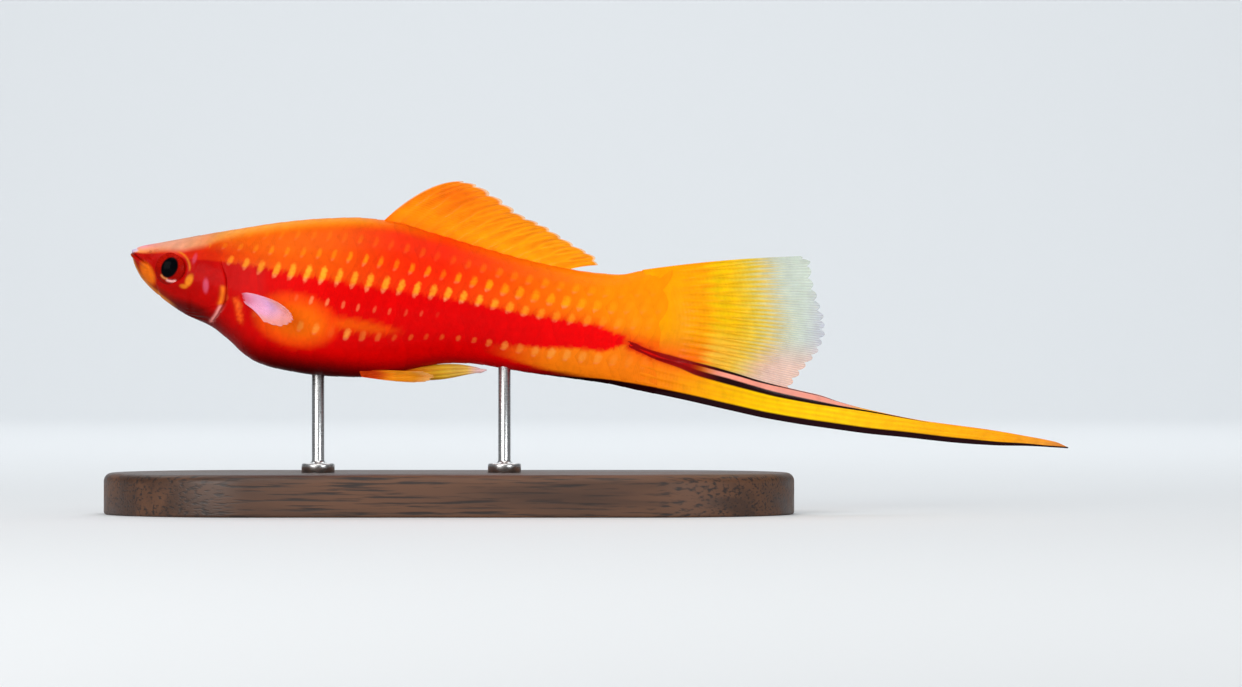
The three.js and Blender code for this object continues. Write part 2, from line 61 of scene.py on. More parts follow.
camera.rotation_euler = (math.radians(90), 0, 0)
bpy.context.collection.objects.link(camera)
bpy.context.scene.camera = camera

# Skin: one soft wet hide over head, jaws, gill covers, trunk and tail root, with no seam. It is a
# tube of rings along x, moved in or out along its normals for lips, sockets, folds and the gill
# opening, and it lies a scale's depth inside the fish's outline behind the head.
STANDARD_LENGTH = 77.0
SWORD_TIP = 138.6
HEAD_UP = math.radians(8)
SNOUT_AT = np.array([-46.0, 0.0, 38.0])
SWAY_FROM = 34.0
SWORD_SWAY = 4.0
SNOUT_SWAY = 0.6
NOSE_ROUNDING = 0.6
HEAD_INSET = 0.02
SCALE_DEPTH = 0.1
GILL_RING = 14.0
POLE_REACH = 0.02
EYE_X, EYE_Z, EYE_RADIUS = 6.35, -1.6, 2.25


def through(*points):
    """A smooth curve through points (x, value): cubic pieces whose slope at each point is the
    harmonic mean of its neighbours' slopes, and level at the curve's own peaks."""
    x, value = np.array(points, float).T
    step = np.diff(value) / np.diff(x)
    slope = np.zeros(len(x))
    slope[0], slope[-1] = step[0], step[-1]
    before, after = step[:-1], step[1:]
    same = before * after > 0
    slope[1:-1][same] = 2 * before[same] * after[same] / (before[same] + after[same])

    def curve(at):
        at = np.clip(at, x[0], x[-1])
        i = np.clip(np.searchsorted(x, at) - 1, 0, len(x) - 2)
        width = x[i + 1] - x[i]
        t = (at - x[i]) / width
        rise = t * t * (3 - 2 * t)
        lean = width * t * (1 - t) * (slope[i] * (1 - t) - slope[i + 1] * t)
        return value[i] * (1 - rise) + value[i + 1] * rise + lean

    return curve


def smooth(value, start, end):
    """0 below start, 1 above end and a smooth cubic step between them."""
    t = np.clip((value - start) / (end - start), 0, 1)
    return t * t * (3 - 2 * t)


def window(value, rise, full, ease, end):
    """0 below rise, 1 from full to ease and 0 past end, with smooth steps between them."""
    return smooth(value, rise, full) * (1 - smooth(value, ease, end))


def mix(a, b, share):
    """a where share is 0 and b where it is 1, in a straight line between them."""
    return a + (b - a) * share


def hump(value, width):
    """A bell of height 1 around 0, that falls to 1/e at width."""
    return np.exp(-((value / width) ** 2))


back = through(
    (0, 0.3), (1.2, 1.0), (4, 1.95), (9, 3.6), (15, 5.5), (21, 7.3), (27, 8.7), (33, 9.6),
    (37, 9.7), (42, 9.0), (50, 7.8), (58, 6.8), (65, 6.35), (70, 6.55), (74, 7.75), (82, 10),
)
belly = through(
    (0, -0.7), (0.9, -2.3), (2, -3.7), (5.3, -6.1), (9, -7.9), (12.8, -9.1), (16, -10.95),
    (18, -12.35), (20.2, -13.35), (23, -13.85), (28, -14.05), (34, -13.6), (39, -12.6),
    (44, -10.7), (48, -9.6), (52, -9.2), (60, -9.4), (70, -9.35), (76, -9.75), (82, -10.1),
)
half_width = through(
    (0, 1.0), (0.5, 1.5), (2, 2.2), (4, 2.95), (6.5, 3.6), (9, 4.1), (12, 4.5), (16, 4.9),
    (21, 5.4), (27, 5.7), (33, 5.5), (42, 4.7), (52, 3.7), (62, 2.85), (70, 2.2), (76, 1.6),
    (82, 1.1),
)
widest_level = through(
    (0, -0.1), (4, -1.3), (9, -2.6), (14, -3.2), (22, -4.0), (32, -3.4), (46, -1.8), (60, -1.4),
    (82, -0.6),
)
upper_squareness = through((0, 2.2), (4, 2.7), (9, 2.6), (16, 2.2), (30, 1.9), (60, 2))
lower_squareness = through((0, 2), (5, 1.9), (12, 1.8), (24, 2.1), (44, 1.8), (60, 2))
gill_edge = through(
    (-12, 12.4), (-8.6, 13.1), (-6.9, 14), (-4.6, 14.7), (-2.2, 14.4), (0.6, 13.2), (2.4, 12.9),
    (8, 14.2),
)
cover_front = through((-9, 10.6), (-6.6, 9.8), (-3.5, 9.5), (-1, 9.9), (1.6, 11))
end_rounding = through(
    (-12, -1), (-9.5, -0.8), (-5, 0.6), (0, 1), (5, -0.6), (9, -3.4), (14, -6),
)


def body_end(z):
    """The line x for a height z where the body ends and the tail fin's rays spring."""
    return STANDARD_LENGTH + end_rounding(z)


def section(x, turn):
    """The body's outline at x: a superellipse whose height, width and squareness change with x,
    and turn runs round it from the back (0) by the right side."""
    c, s = np.cos(turn), np.sin(turn)
    power = 2 / np.where(c >= 0, upper_squareness(x), lower_squareness(x))
    reach = np.where(c >= 0, back(x) - widest_level(x), widest_level(x) - belly(x))
    slimmer = mix(1, 0.82, smooth(x, 70, STANDARD_LENGTH))
    y = half_width(x) * slimmer * np.sign(s) * np.abs(s) ** power
    z = widest_level(x) + np.sign(c) * reach * np.abs(c) ** power
    return np.stack([x + 0 * y, y, z], -1)


def flank(x, z):
    """The body's half-width at x and height z, from the same superellipse."""
    up = z >= widest_level(x)
    reach = np.where(up, back(x) - widest_level(x), widest_level(x) - belly(x))
    n = np.where(up, upper_squareness(x), lower_squareness(x))
    share = np.clip(np.abs(z - widest_level(x)) / reach, 0, 1)
    slimmer = mix(1, 0.82, smooth(x, 70, STANDARD_LENGTH))
    return half_width(x) * slimmer * (1 - share**n) ** (1 / n)


def in_place(points):
    """Fish frame in millimetres to the shared frame in metres: the sideways curve of the swimming
    body grows with the square of the distance from SWAY_FROM, then the head is tipped up."""
    x, y, z = np.moveaxis(np.asarray(points, float), -1, 0)
    behind = np.clip((x - SWAY_FROM) / (SWORD_TIP - SWAY_FROM), 0, None)
    before = np.clip((SWAY_FROM - x) / SWAY_FROM, 0, None)
    y = y + SWORD_SWAY * behind**2 + SNOUT_SWAY * before**2
    c, s = math.cos(HEAD_UP), math.sin(HEAD_UP)
    return (np.stack([x * c + z * s, y, z * c - x * s], -1) + SNOUT_AT) / 1000


def grid_quads(rows, columns, wrap=False):
    """Corners of the quads of a grid of rows x columns points; wrap joins its last column to its
    first."""
    i, j = np.meshgrid(np.arange(rows - 1), np.arange(columns - (not wrap)), indexing="ij")
    a = (i * columns + j).ravel()
    b = (i * columns + (j + 1) % columns).ravel()
    return np.stack([a, a + columns, b + columns, b], -1)


def new_piece(name, points, quads, triangles=(), colours=None, vectors=None, of_fish=True, crisp=False):
    """A mesh object from arrays in millimetres, placed by in_place() if it is part of the fish,
    with smooth faces (crisp ones meet at sharp rims), a colour attribute "Markings" and vector
    attributes, that rides on the one body."""
    quads = np.asarray(quads, np.int32).reshape(-1, 4)
    triangles = np.asarray(triangles, np.int32).reshape(-1, 3)
    mesh = bpy.data.meshes.new(name)
    placed = in_place(points) if of_fish else np.asarray(points) / 1000
    mesh.vertices.add(len(placed))
    mesh.vertices.foreach_set("co", placed.astype(np.float32).ravel())
    mesh.loops.add(quads.size + triangles.size)
    mesh.loops.foreach_set("vertex_index", np.concatenate([quads.ravel(), triangles.ravel()]))
    mesh.polygons.add(len(quads) + len(triangles))
    starts = [np.arange(len(quads)) * 4, quads.size + np.arange(len(triangles)) * 3]
    mesh.polygons.foreach_set("loop_start", np.concatenate(starts).astype(np.int32))
    mesh.update(calc_edges=True)
    mesh.validate()
    mesh.shade_smooth()
    if crisp:
        mesh.set_sharp_from_angle(angle=math.radians(40))
    if colours is not None:
        paint = mesh.color_attributes.new("Markings", "FLOAT_COLOR", "POINT")
        alpha = np.ones((len(colours), 4), np.float32)
        alpha[:, : colours.shape[1]] = colours
        paint.data.foreach_set("color", alpha.ravel())
    for key, value in (vectors or {}).items():
        layer = mesh.attributes.new(key, "FLOAT_VECTOR", "POINT")
        layer.data.foreach_set("vector", value.astype(np.float32).ravel())
    piece = bpy.data.objects.new(name, mesh)
    bpy.context.collection.objects.link(piece)
    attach(piece, "root")
    return piece


def tube_piece(name, grid, poles, flip=False, **more):
    """A closed tube: rings of points, with fans that close the first and the last of them on two
    poles; flip turns its faces over."""
    rows, sides = grid.shape[:2]
    j = np.arange(sides)
    after = (j + 1) % sides
    last = (rows - 1) * sides
    quads = grid_quads(rows, sides, wrap=True)
    fans = np.concatenate([
        np.stack([0 * j + rows * sides, j, after], -1),
        np.stack([0 * j + rows * sides + 1, last + after, last + j], -1),
    ])
    order = -1 if flip else 1
    points = np.concatenate([grid.reshape(-1, 3), poles])
    return new_piece(name, points, quads[:, ::order], fans[:, ::order], **more)


def tube_normals(grid):
    """Unit normals of a tube's points, from the cross product of its central differences."""
    around = (np.roll(grid, -1, 1) - np.roll(grid, 1, 1)) / 2
    n = np.cross(np.gradient(grid, axis=0), around)
    return n / np.maximum(np.linalg.norm(n, axis=-1, keepdims=True), 1e-9)


def rgb(red, green, blue):
    """A colour as the eye sees it, 0 to 255 a channel, to linear light."""
    c = np.array([red, green, blue]) / 255
    return np.where(c <= 0.04045, c / 12.92, ((c + 0.055) / 1.055) ** 2.4)


def tone(*stops):
    """A colour that changes along x, straight from stop to stop, each (x, red, green, blue)."""
    places = [stop[0] for stop in stops]
    colours = np.array([rgb(*stop[1:]) for stop in stops])
    return lambda x: np.stack([np.interp(x, places, colours[:, k]) for k in range(3)], -1)


def over(under, colour, share):
    """A colour painted over another, as thick as share."""
    return mix(under, colour, np.asarray(share)[..., None])


def blot(x, z, at, size, lean=0.0, soft=0.35):
    """1 inside a leaning ellipse of half-sizes size at the place at, 0 outside, soft at its rim."""
    dx, dz = x - at[0] - lean * (z - at[1]), z - at[1]
    far = np.hypot(dx / size[0], dz / size[1])
    return 1 - smooth(far, 1 - soft, 1 + soft)


# Where the colours meet, each a height z for x
red_top = through(
    (0, -0.05), (2, 0.02), (4.7, 0.3), (6.8, 0.25), (8.8, 0.1), (10.8, 0.25), (16, 0.4),
    (23, 0.2), (28, 0.1), (35, -0.05), (42, -0.2), (47, -0.4), (53, -0.6), (58, -0.9),
    (64.5, -1.05), (68, -1.1), (69.4, -1.4), (71, -2), (72.6, -2.1), (74, -2.6),
)
pale_foot = through(
    (0, 0), (3, 0.2), (4.7, 0.35), (6.8, 0.45), (8.9, 1.1), (10.6, 1.7), (12.5, 3), (14.2, 4),
    (16, 5.3),
)
low_orange_top = through(
    (47, -6.7), (52, -6.1), (55, -5.8), (61.5, -5.4), (66, -4.8), (69.3, -4.75), (71, -4.2),
    (72.6, -3.5), (76, -3.4),
)
low_orange_foot = through((47, -6.7), (50, -7.1), (54, -7.5), (58, -8.1), (62, -8.6), (68, -8.9))
sword_line = through(
    (72.5, -2.8), (75, -3.5), (79.1, -4.3), (84.7, -4.85), (89.4, -5.45), (93, -6), (98.3, -6.5),
    (101.7, -6.8), (104.5, -7.25), (109, -7.85),
)
sword_stripe = through(
    (74, -3.6), (76.9, -4.6), (80.9, -5.3), (83.4, -5.95), (88, -6.55), (91.4, -7), (95.6, -7.5),
    (101.7, -7.85), (104.5, -7.95), (109, -8.05), (118, -8.45),
)
sword_foot = through(
    (62, -9.4), (70, -9.35), (76, -9.7), (82, -10.1), (89, -10.7), (95, -11.15), (101, -11.3),
    (108, -11.3), (115, -11.05), (121.6, -10.85), (128, -10.4), (133, -9.8), (SWORD_TIP, -9.35),
)
# Painted highlight: the top edge of the back drawn lighter, where the light from above falls on it.
back_edge_highlight = tone(
    (10, 244, 165, 90), (16, 247, 148, 34), (24, 246, 142, 12), (32, 242, 138, 8),
    (37, 242, 104, 8), (45, 244, 62, 4), (56, 245, 100, 4), (66, 252, 128, 3), (76, 254, 144, 2),
)
back_colour = tone(
    (3, 226, 52, 20), (6.8, 228, 84, 12), (9, 218, 62, 8), (12, 220, 86, 2), (16, 230, 90, 2),
    (24, 238, 92, 3), (30, 236, 82, 4), (34, 236, 62, 3), (38, 239, 44, 3), (45, 243, 38, 4),
    (51, 243, 60, 4), (56, 246, 84, 3), (62, 250, 108, 3), (68, 254, 130, 3), (76, 254, 142, 2),
)
flank_colour = tone(
    (9, 206, 32, 6), (12.5, 206, 38, 1), (15, 222, 64, 2), (20, 234, 84, 4), (28, 232, 80, 3),
    (34, 236, 64, 5), (41, 242, 38, 6), (50, 243, 62, 4), (58, 248, 94, 4), (66, 253, 116, 4),
    (76, 253, 138, 2),
)
# Painted highlight: pinkish-peach glare over the snout, brow and nape.
brow_glare = tone(
    (0, 236, 136, 178), (1.4, 238, 140, 172), (2.8, 230, 144, 134), (4.5, 220, 148, 120),
    (6.8, 222, 150, 118), (8.8, 222, 146, 104), (10.4, 224, 136, 88), (12.5, 228, 142, 56),
    (16, 238, 146, 20),
)
stripe_colour = tone(
    (0, 172, 10, 2), (4, 172, 4, 0), (9, 174, 2, 0), (15, 190, 1, 0), (24, 224, 0, 0),
    (38, 222, 0, 0), (53, 220, 0, 2), (66, 240, 0, 3),
)
# The belly's own dark red, deepened by painted shade towards the underside.
belly_red_and_shade = tone(
    (0, 150, 60, 10), (5, 140, 30, 4), (8, 90, 3, 0), (12, 100, 2, 2), (16, 140, 2, 2),
    (22, 88, 1, 3), (27, 66, 1, 3), (31, 76, 1, 3), (36, 112, 1, 4), (41, 176, 2, 6),
    (52, 190, 2, 7), (58, 180, 0, 5), (64, 110, 0, 5), (70, 60, 0, 6),
)
SNOUT_HIGHLIGHT = rgb(206, 196, 232)
LOW_ORANGE = rgb(254, 126, 12)
PATCH_ORANGE = rgb(250, 104, 3)
PATCH_RED = rgb(246, 50, 4)
JAW_ORANGE = rgb(228, 108, 14)
CHIN_RIM_LIGHT = rgb(206, 120, 42)
THROAT_RED_AND_SHADE = rgb(94, 2, 0)
FLECK_GOLD = rgb(228, 128, 26)
PINK_MARK_AND_HIGHLIGHT = rgb(206, 78, 104)
GILL_RIM_ORANGE_HIGHLIGHT = rgb(240, 118, 26)
GILL_RIM_PINK_HIGHLIGHT = rgb(242, 150, 142)
COLLAR_ORANGE = rgb(252, 96, 26)
root_red = tone((74, 222, 4, 2), (79, 190, 3, 2), (85, 132, 4, 2))
ROOT_ORANGE = rgb(250, 84, 6)


def sword_lines(x, z):
    """How far across each of the sword's black lines a place is, 0 on the line's middle and 1 on
    its edge: the stripe along the foot from the root of the tail, the one below the upper edge
    and the thin one on that edge. Each has a width that changes with x, and past its own ends
    the value grows so fast (closing) that nothing is drawn there."""
    foot_width = np.interp(
        x, (60, 62, 66, 70, 76, 84, 108, 118, 124, 130, 135, 139),
        (0.02, 0.1, 0.34, 0.58, 0.9, 0.95, 0.9, 0.82, 0.75, 0.5, 0.25, 0.2),
    )
    stripe_half = np.interp(
        x, (73, 74.2, 75.5, 80, 84, 88, 93, 101, 105, 112, 118),
        (0.02, 0.3, 0.14, 0.3, 0.42, 0.46, 0.38, 0.27, 0.16, 0.08, 0.01),
    )
    thin_half = np.interp(
        x, (72.8, 74.2, 76, 79.3, 83, 86, 92, 96, 104, 109),
        (0.02, 0.3, 0.16, 0.34, 0.2, 0.22, 0.15, 0.07, 0.04, 0.01),
    )
    closing = 60
    ahead = closing * np.clip(72.8 - x, 0, 3)
    foot = (z - sword_foot(x)) / foot_width + 5 * closing * np.clip(61 - x, 0, 3)
    stripe = (z - sword_stripe(x)) / stripe_half * (1 + ahead + closing * np.clip(x - 118, 0, 3))
    thin = (z - sword_line(x)) / thin_half * (1 + ahead + closing * np.clip(x - 109, 0, 3))
    return np.stack([foot, stripe, thin], -1)


def root_glow(colour, x, z):
    """The red stripe running on into the root of the sword, narrower and softer as it goes."""
    middle = (sword_line(x) + sword_stripe(x)) / 2
    along = window(x, 72.4, 73.4, 82, 87.5)
    colour = over(colour, ROOT_ORANGE, 0.6 * along * hump(z - middle, 1.5))
    return over(colour, root_red(x), along * (1 - smooth(np.abs(z - middle), 0.35, 1)))


def markings(x, z):
    """The fish's colours by place on its side: gold back, red stripe, orange patches, a dark belly
    and throat that are partly painted shade, and the small marks of the head, painted one over
    another, with painted highlights along the top of the back, over the brow, on the snout's tip,
    along the chin, on the gill cover's rim and on the cheek."""
    colour = over(back_colour(x), flank_colour(x), 1 - smooth(z, red_top(x) + 1, red_top(x) + 3.6))
    # painted highlight along the top of the back
    colour = over(colour, back_edge_highlight(x), smooth(z - back(x), -1.9, -0.3))
    # painted pinkish-peach highlight over the top of the head, down to pale_foot
    pale = smooth(z, pale_foot(x), pale_foot(x) + 1.3) * (1 - smooth(x, 12, 17))
    colour = over(colour, brow_glare(x), pale)
    halo = (1 - smooth(z, red_top(x) - 0.1, red_top(x) + 1.5)) * smooth(x, 50, 62)
    colour = over(colour, stripe_colour(x), 0.45 * halo)
    red = 1 - smooth(z, red_top(x) - 0.16, red_top(x) + 0.2)
    past_root = smooth(x, 72.3, 72.9)
    low_edge = 1 - smooth(z, low_orange_top(x) - 0.3, low_orange_top(x) + 0.1)
    after = past_root + (1 - past_root) * low_edge * smooth(x, 66, 70)
    colour = over(colour, stripe_colour(x), red * (1 - after))
    # dark belly band: the belly's own dark red and painted shade on the underside
    low_width = np.interp(x, (0, 8, 14, 22, 30, 40, 50), (1.2, 2.2, 3.4, 4.4, 4.0, 2.6, 1.4))
    low = 1 - smooth(z - belly(x), 0.4, low_width)
    colour = over(colour, belly_red_and_shade(x), low)
    orange = smooth(low_orange_top(x) - z, -0.15, 0.35) * smooth(z - low_orange_foot(x), -0.2, 0.35)
    colour = over(colour, LOW_ORANGE, orange * smooth(x, 52, 64))
    patch = blot(x, z, (25.1, -6.5), (5.4, 3.4), -0.12, 0.28)
    trail = 0.6 * blot(x, z, (33.5, -6.1), (5.5, 0.8), 0, 0.5)
    colour = over(colour, PATCH_ORANGE, np.maximum(patch, trail))
    inner = 1 - blot(x, z, (25.4, -6.7), (4.4, 2.5), -0.12, 0.5)
    colour = over(colour, PATCH_RED, 0.85 * patch * inner)
    colour = over(colour, JAW_ORANGE, 0.95 * blot(x, z, (2.8, -2.75), (1.0, 1.5), -0.45))
    # dark red under the throat, partly painted shade under the head
    colour = over(colour, THROAT_RED_AND_SHADE, 0.9 * blot(x, z, (9.4, -7.3), (2.6, 1.25), -0.3, 0.6))
    # painted rim light: a thin gold line along the lower edge of the chin
    chin = (1 - smooth(z - belly(x), 0.2, 0.7)) * (1 - smooth(x, 6, 8))
    colour = over(colour, CHIN_RIM_LIGHT, chin)
    # painted bluish-white highlight on the tip of the snout
    colour = over(colour, SNOUT_HIGHLIGHT, 0.9 * blot(x, z, (0, 0.35), (0.85, 0.45)))
    round_eye = np.hypot(x - EYE_X, z - EYE_Z)
    angle = np.arctan2(z - EYE_Z, x - EYE_X)
    arc = hump(round_eye - EYE_RADIUS - 0.34, 0.13) * window(angle, -0.1, 0.2, 1.2, 1.5)
    colour = over(colour, FLECK_GOLD, 0.75 * arc)
    colour = over(colour, FLECK_GOLD, blot(x, z, (9.05, -2.95), (0.5, 0.85), 0.2, 0.4))
    colour = over(colour, FLECK_GOLD, 0.8 * blot(x, z, (8.35, -3.9), (0.55, 0.3), 0, 0.5))
    # a painted pink highlight on the cheek, and a small pink mark behind the top of the eye
    colour = over(colour, PINK_MARK_AND_HIGHLIGHT, 0.85 * blot(x, z, (11.6, -3.35), (0.4, 0.95), -0.12, 0.45))
    colour = over(colour, PINK_MARK_AND_HIGHLIGHT, 0.5 * blot(x, z, (9.4, 0.3), (0.28, 0.7), 0.1, 0.5))
    # painted highlights: orange and pink lines along the rim of the gill cover
    ahead = gill_edge(z) - x
    rim = hump(ahead - 0.5, 0.34) * window(z, -6, -5.4, -3.4, -2.8)
    colour = over(colour, GILL_RIM_ORANGE_HIGHLIGHT, 0.9 * rim)
    rim = hump(ahead - 0.3, 0.26) * window(z, -8.8, -8.2, -6, -5.5)
    colour = over(colour, GILL_RIM_PINK_HIGHLIGHT, rim)
    collar = hump(x - 16.1 - 0.35 * (-4.5 - z), 0.36) * window(z, -8.2, -7.6, -4.8, -4.2)
    colour = over(colour, COLLAR_ORANGE, 0.9 * collar)
    return root_glow(colour, x, z)


def relief(x, y, z):
    """How far the skin stands out, in mm, at each place: swollen cheeks that end in a crisp rim
    over the gill slit, lips, sockets, nostrils, and the grooves between the head's plates."""
    edge = gill_edge(z)
    side = window(z, -9, -5.5, -2.2, 1.4)
    ahead = edge - x
    on_head = smooth(ahead, -0.05, 0.03)
    swell = 0.4 * smooth(x, 6, edge) * side * on_head
    lip_edge = 0.07 * hump(ahead - 0.3, 0.3) * side * on_head
    slit_side = window(z, -9.4, -7.5, -1.6, 0.4)
    slit = -0.42 * hump(ahead + 0.16, 0.32) * slit_side * (1 - on_head)
    scaled = np.where(z < 1.6, edge + 0.3, mix(edge + 0.3, 9.6, smooth(z, 1.6, 3.4)))
    inset = -mix(HEAD_INSET, SCALE_DEPTH, smooth(x, scaled, scaled + 1))
    groove = -0.05 * hump(x - cover_front(z), 0.3) * window(z, -8.6, -7.6, 0.6, 1.6)
    ridge = 0.02 * hump(x - cover_front(z) + 0.6, 0.5) * window(z, -8.6, -7, -0.5, 1)
    lower_plate = -0.04 * hump(z + 6.7 - 0.4 * (x - 12), 0.2) * smooth(x, 10.2, 10.8) * (ahead > 0.5)

    gape = z + 0.05 + 0.56 * x
    mouth = 1 - smooth(x, 2.2, 2.9)
    lips = 0.2 * hump(gape - 0.32, 0.2) + 0.22 * hump(gape + 0.36, 0.23) - 0.34 * hump(gape, 0.085)
    jaw_line = through((-6.2, 5), (-4, 4), (-2.5, 3.15), (-1.5, 2.75))(z)
    hinge = -0.11 * hump(x - jaw_line, 0.2) * window(z, -6.4, -5.4, -1.9, -1.4)
    lip_fold = -0.09 * hump(gape - 0.95, 0.13) * (1 - smooth(x, 2.6, 3.6)) * smooth(x, 0.2, 0.7)

    round_eye = np.hypot(x - EYE_X, z - EYE_Z)
    facing = smooth(np.abs(y), 1.2, 2.0)
    socket = -1.5 * (1 - smooth(round_eye, 1.45, 2.08)) * facing
    rim = 0.02 * hump(round_eye - EYE_RADIUS - 0.2, 0.3) * facing
    under_rim = -0.02 * hump(round_eye - EYE_RADIUS - 0.75, 0.2) * facing * (1 - smooth(z, -1.5, 0.5))
    brow = 0.05 * hump(round_eye - 3.0, 0.4) * smooth(z, -0.6, 0.6)
    total = swell + lip_edge + slit + inset + groove + ridge + lower_plate
    total += mouth * lips + hinge + lip_fold + socket + rim + under_rim + brow
    for place_x, place_z in ((2.75, 0.33), (3.6, 0.72)):
        far = np.hypot(x - place_x, (z - place_z) * 1.15)
        total += (-0.42 * hump(far, 0.2) + 0.08 * hump(far - 0.32, 0.11)) * (np.abs(y) > 0.6)

    under = 1 - smooth(z - belly(x), 0.5, 1.8)
    margin = mix(0.25, 2.1, smooth(x, 8, 13.2))
    isthmus = -0.26 * hump(np.abs(y) - margin, 0.17) * window(x, 7.8, 8.8, 12.9, 13.4)
    folds = 0.06 * np.cos(2 * np.pi * (np.abs(y) - margin) / 0.62) * smooth(x, 8.5, 9.6) * (ahead > 0.4)
    folds = folds * smooth(np.abs(y) - margin, 0.15, 0.4) * (1 - smooth(np.abs(y) - margin, 1.7, 2.3))
    chin = -0.08 * hump(np.abs(y) - 0.5, 0.2) * window(x, 1.8, 3, 6.5, 8)
    return total + under * (isthmus + folds + chin)


def body_surface(nominal, turns):
    """Grid of points on the body: rings at nominal x, each shifted so that those near the gill
    opening follow its edge and the last ones follow the body's rounded end, with a round nose
    and a tail end that closes in width like a half ellipse."""
    u, turn = np.meshgrid(nominal, turns, indexing="ij")
    x = u
    for _ in range(4):
        z = section(x, turn)[..., 2]
        to_gill = (gill_edge(np.clip(z, -9.5, 3)) - GILL_RING) * hump(u - GILL_RING, 3.2)
        to_end = (body_end(z) - STANDARD_LENGTH) * smooth(u, 66, STANDARD_LENGTH)
        x = u + to_gill + to_end
    grid = section(x, turn)
    nose = np.sqrt(1 - np.clip((NOSE_ROUNDING - u) / NOSE_ROUNDING, 0, 1) ** 2)
    centre = widest_level(x)
    grid[..., 2] = centre + (grid[..., 2] - centre) * mix(0.25, 1, nose)
    last = np.clip((u - STANDARD_LENGTH + 0.5) / 0.52, 0, 1)
    grid[..., 1] *= np.maximum(nose, 0.02) * np.sqrt(1 - 0.96 * last**2)
    return grid


SWORD_BLACK = rgb(30, 1, 5)
ROOT_DARK = rgb(142, 3, 2)
SKIN_SIDES = 236
rings = np.concatenate([
    np.arange(0.02, 0.6, 0.05), np.arange(0.6, 3.4, 0.08), np.arange(3.4, 9.2, 0.13),
    np.arange(9.2, 13.2, 0.15), np.arange(13.2, 14.6, 0.06), np.arange(14.6, 17, 0.2),
    np.arange(17, 76, 0.5), np.arange(76, 77.01, 0.08),
])
turns = np.arange(SKIN_SIDES) * 2 * np.pi / SKIN_SIDES
skin_grid = body_surface(rings, turns)
x, y, z = np.moveaxis(skin_grid, -1, 0)
skin_grid = skin_grid + tube_normals(skin_grid) * relief(x, y, z)[..., None]
poles = np.stack([skin_grid[0].mean(0) - (POLE_REACH, 0, 0), skin_grid[-1].mean(0) + (POLE_REACH, 0, 0)])
x, z = np.append(x, poles[:, 0]), np.append(z, poles[:, 2])
skin = tube_piece("skin", skin_grid, poles, colours=markings(x, z), vectors={"Lines": sword_lines(x, z)})


def add(tree, kind, inputs, **settings):
    """A shader node with its settings, and its inputs set to values or linked to other outputs."""
    node = tree.nodes.new("ShaderNode" + kind)
    for key, value in settings.items():
        setattr(node, key, value)
    for key, value in inputs.items():
        if isinstance(value, bpy.types.NodeSocket):
            tree.links.new(value, node.inputs[key])
        else:
            node.inputs[key].default_value = value
    return node


def maths(tree, operation, *values):
    """The output of a Math node with these inputs."""
    return add(tree, "Math", dict(enumerate(values)), operation=operation).outputs[0]


def step(tree, value, start, end):
    """The output of a soft step from 0 at start to 1 at end."""
    node = add(tree, "MapRange", {"Value": value, "From Min": start, "From Max": end},
               interpolation_type="SMOOTHSTEP")
    return node.outputs["Result"]


def level(tree, value, start, end, low, high):
    """The output of a straight slope from low at start to high at end, level on both sides."""
    node = add(tree, "MapRange", {"Value": value, "From Min": start, "From Max": end, "To Min": low,
                                  "To Max": high})
    return node.outputs["Result"]


def noise(tree, scale, detail, distortion=0.0):
    """Soft noise, 0 to 1, by the piece's own place: scale waves to a metre, alike all round or
    with a number for each axis."""
    place = tree.nodes.new("ShaderNodeTexCoord").outputs["Object"]
    if np.size(scale) == 3:
        place = add(tree, "Mapping", {"Vector": place, "Scale": scale}).outputs[0]
        scale = 1.0
    node = add(tree, "TexNoise", {"Vector": place, "Scale": scale, "Detail": detail,
                                  "Distortion": distortion})
    return node.outputs["Fac"]


def painted(tree, share, under, colour):
    """A colour painted over another where share is 1."""
    return add(tree, "Mix", {0: share, 6: under, 7: colour}, data_type="RGBA").outputs[2]


def black_lined(tree, colour):
    """The colour with the sword's black lines drawn on it, dark red where the upper two begin."""
    lines = add(tree, "Attribute", {}, attribute_name="Lines").outputs["Vector"]
    foot, stripe, thin = add(tree, "SeparateXYZ", {"Vector": lines}).outputs
    stripe = step(tree, maths(tree, "ABSOLUTE", stripe), 1.3, 0.7)
    thin = step(tree, maths(tree, "ABSOLUTE", thin), 1.35, 0.65)
    place = tree.nodes.new("ShaderNodeTexCoord").outputs["Object"]
    along = add(tree, "SeparateXYZ", {"Vector": place}).outputs[0]
    ink = painted(tree, step(tree, along, 0.033, 0.04), (*ROOT_DARK, 1), (*SWORD_BLACK, 1))
    colour = painted(tree, maths(tree, "MAXIMUM", stripe, thin), colour, ink)
    return painted(tree, step(tree, foot, 1.14, 0.86), colour, (*SWORD_BLACK, 1))


def new_material(name, sockets):
    """A material, its node tree and its shader, with these sockets of the shader set."""
    material = bpy.data.materials.new(name)
    material.use_nodes = True
    tree = material.node_tree
    shader = tree.nodes["Principled BSDF"]
    for key, value in sockets.items():
        shader.inputs[key].default_value = value
    return material, tree, shader


def wet_material(name, roughness, coat, sockets):
    """A wet surface in the piece's own Markings: (material, its tree, its shader, the paint)."""
    material, tree, shader = new_material(name, {
        "Roughness": roughness, "Coat Weight": coat, "Coat Roughness": 0.12,
        "Specular IOR Level": 0.035, **sockets,
    })
    return material, tree, shader, add(tree, "VertexColor", {}, layer_name="Markings").outputs


def dimmed(tree, colour, share):
    """The colour made darker or lighter by a share."""
    return add(tree, "VectorMath", {0: colour, 3: share}, operation="SCALE").outputs[0]


def mottled(tree, colour, scale, low, high, detail=4.0):
    """The colour made a little darker and lighter by soft blotches, scale of them to a metre."""
    return dimmed(tree, colour, level(tree, noise(tree, scale, detail), 0.3, 0.7, low, high))


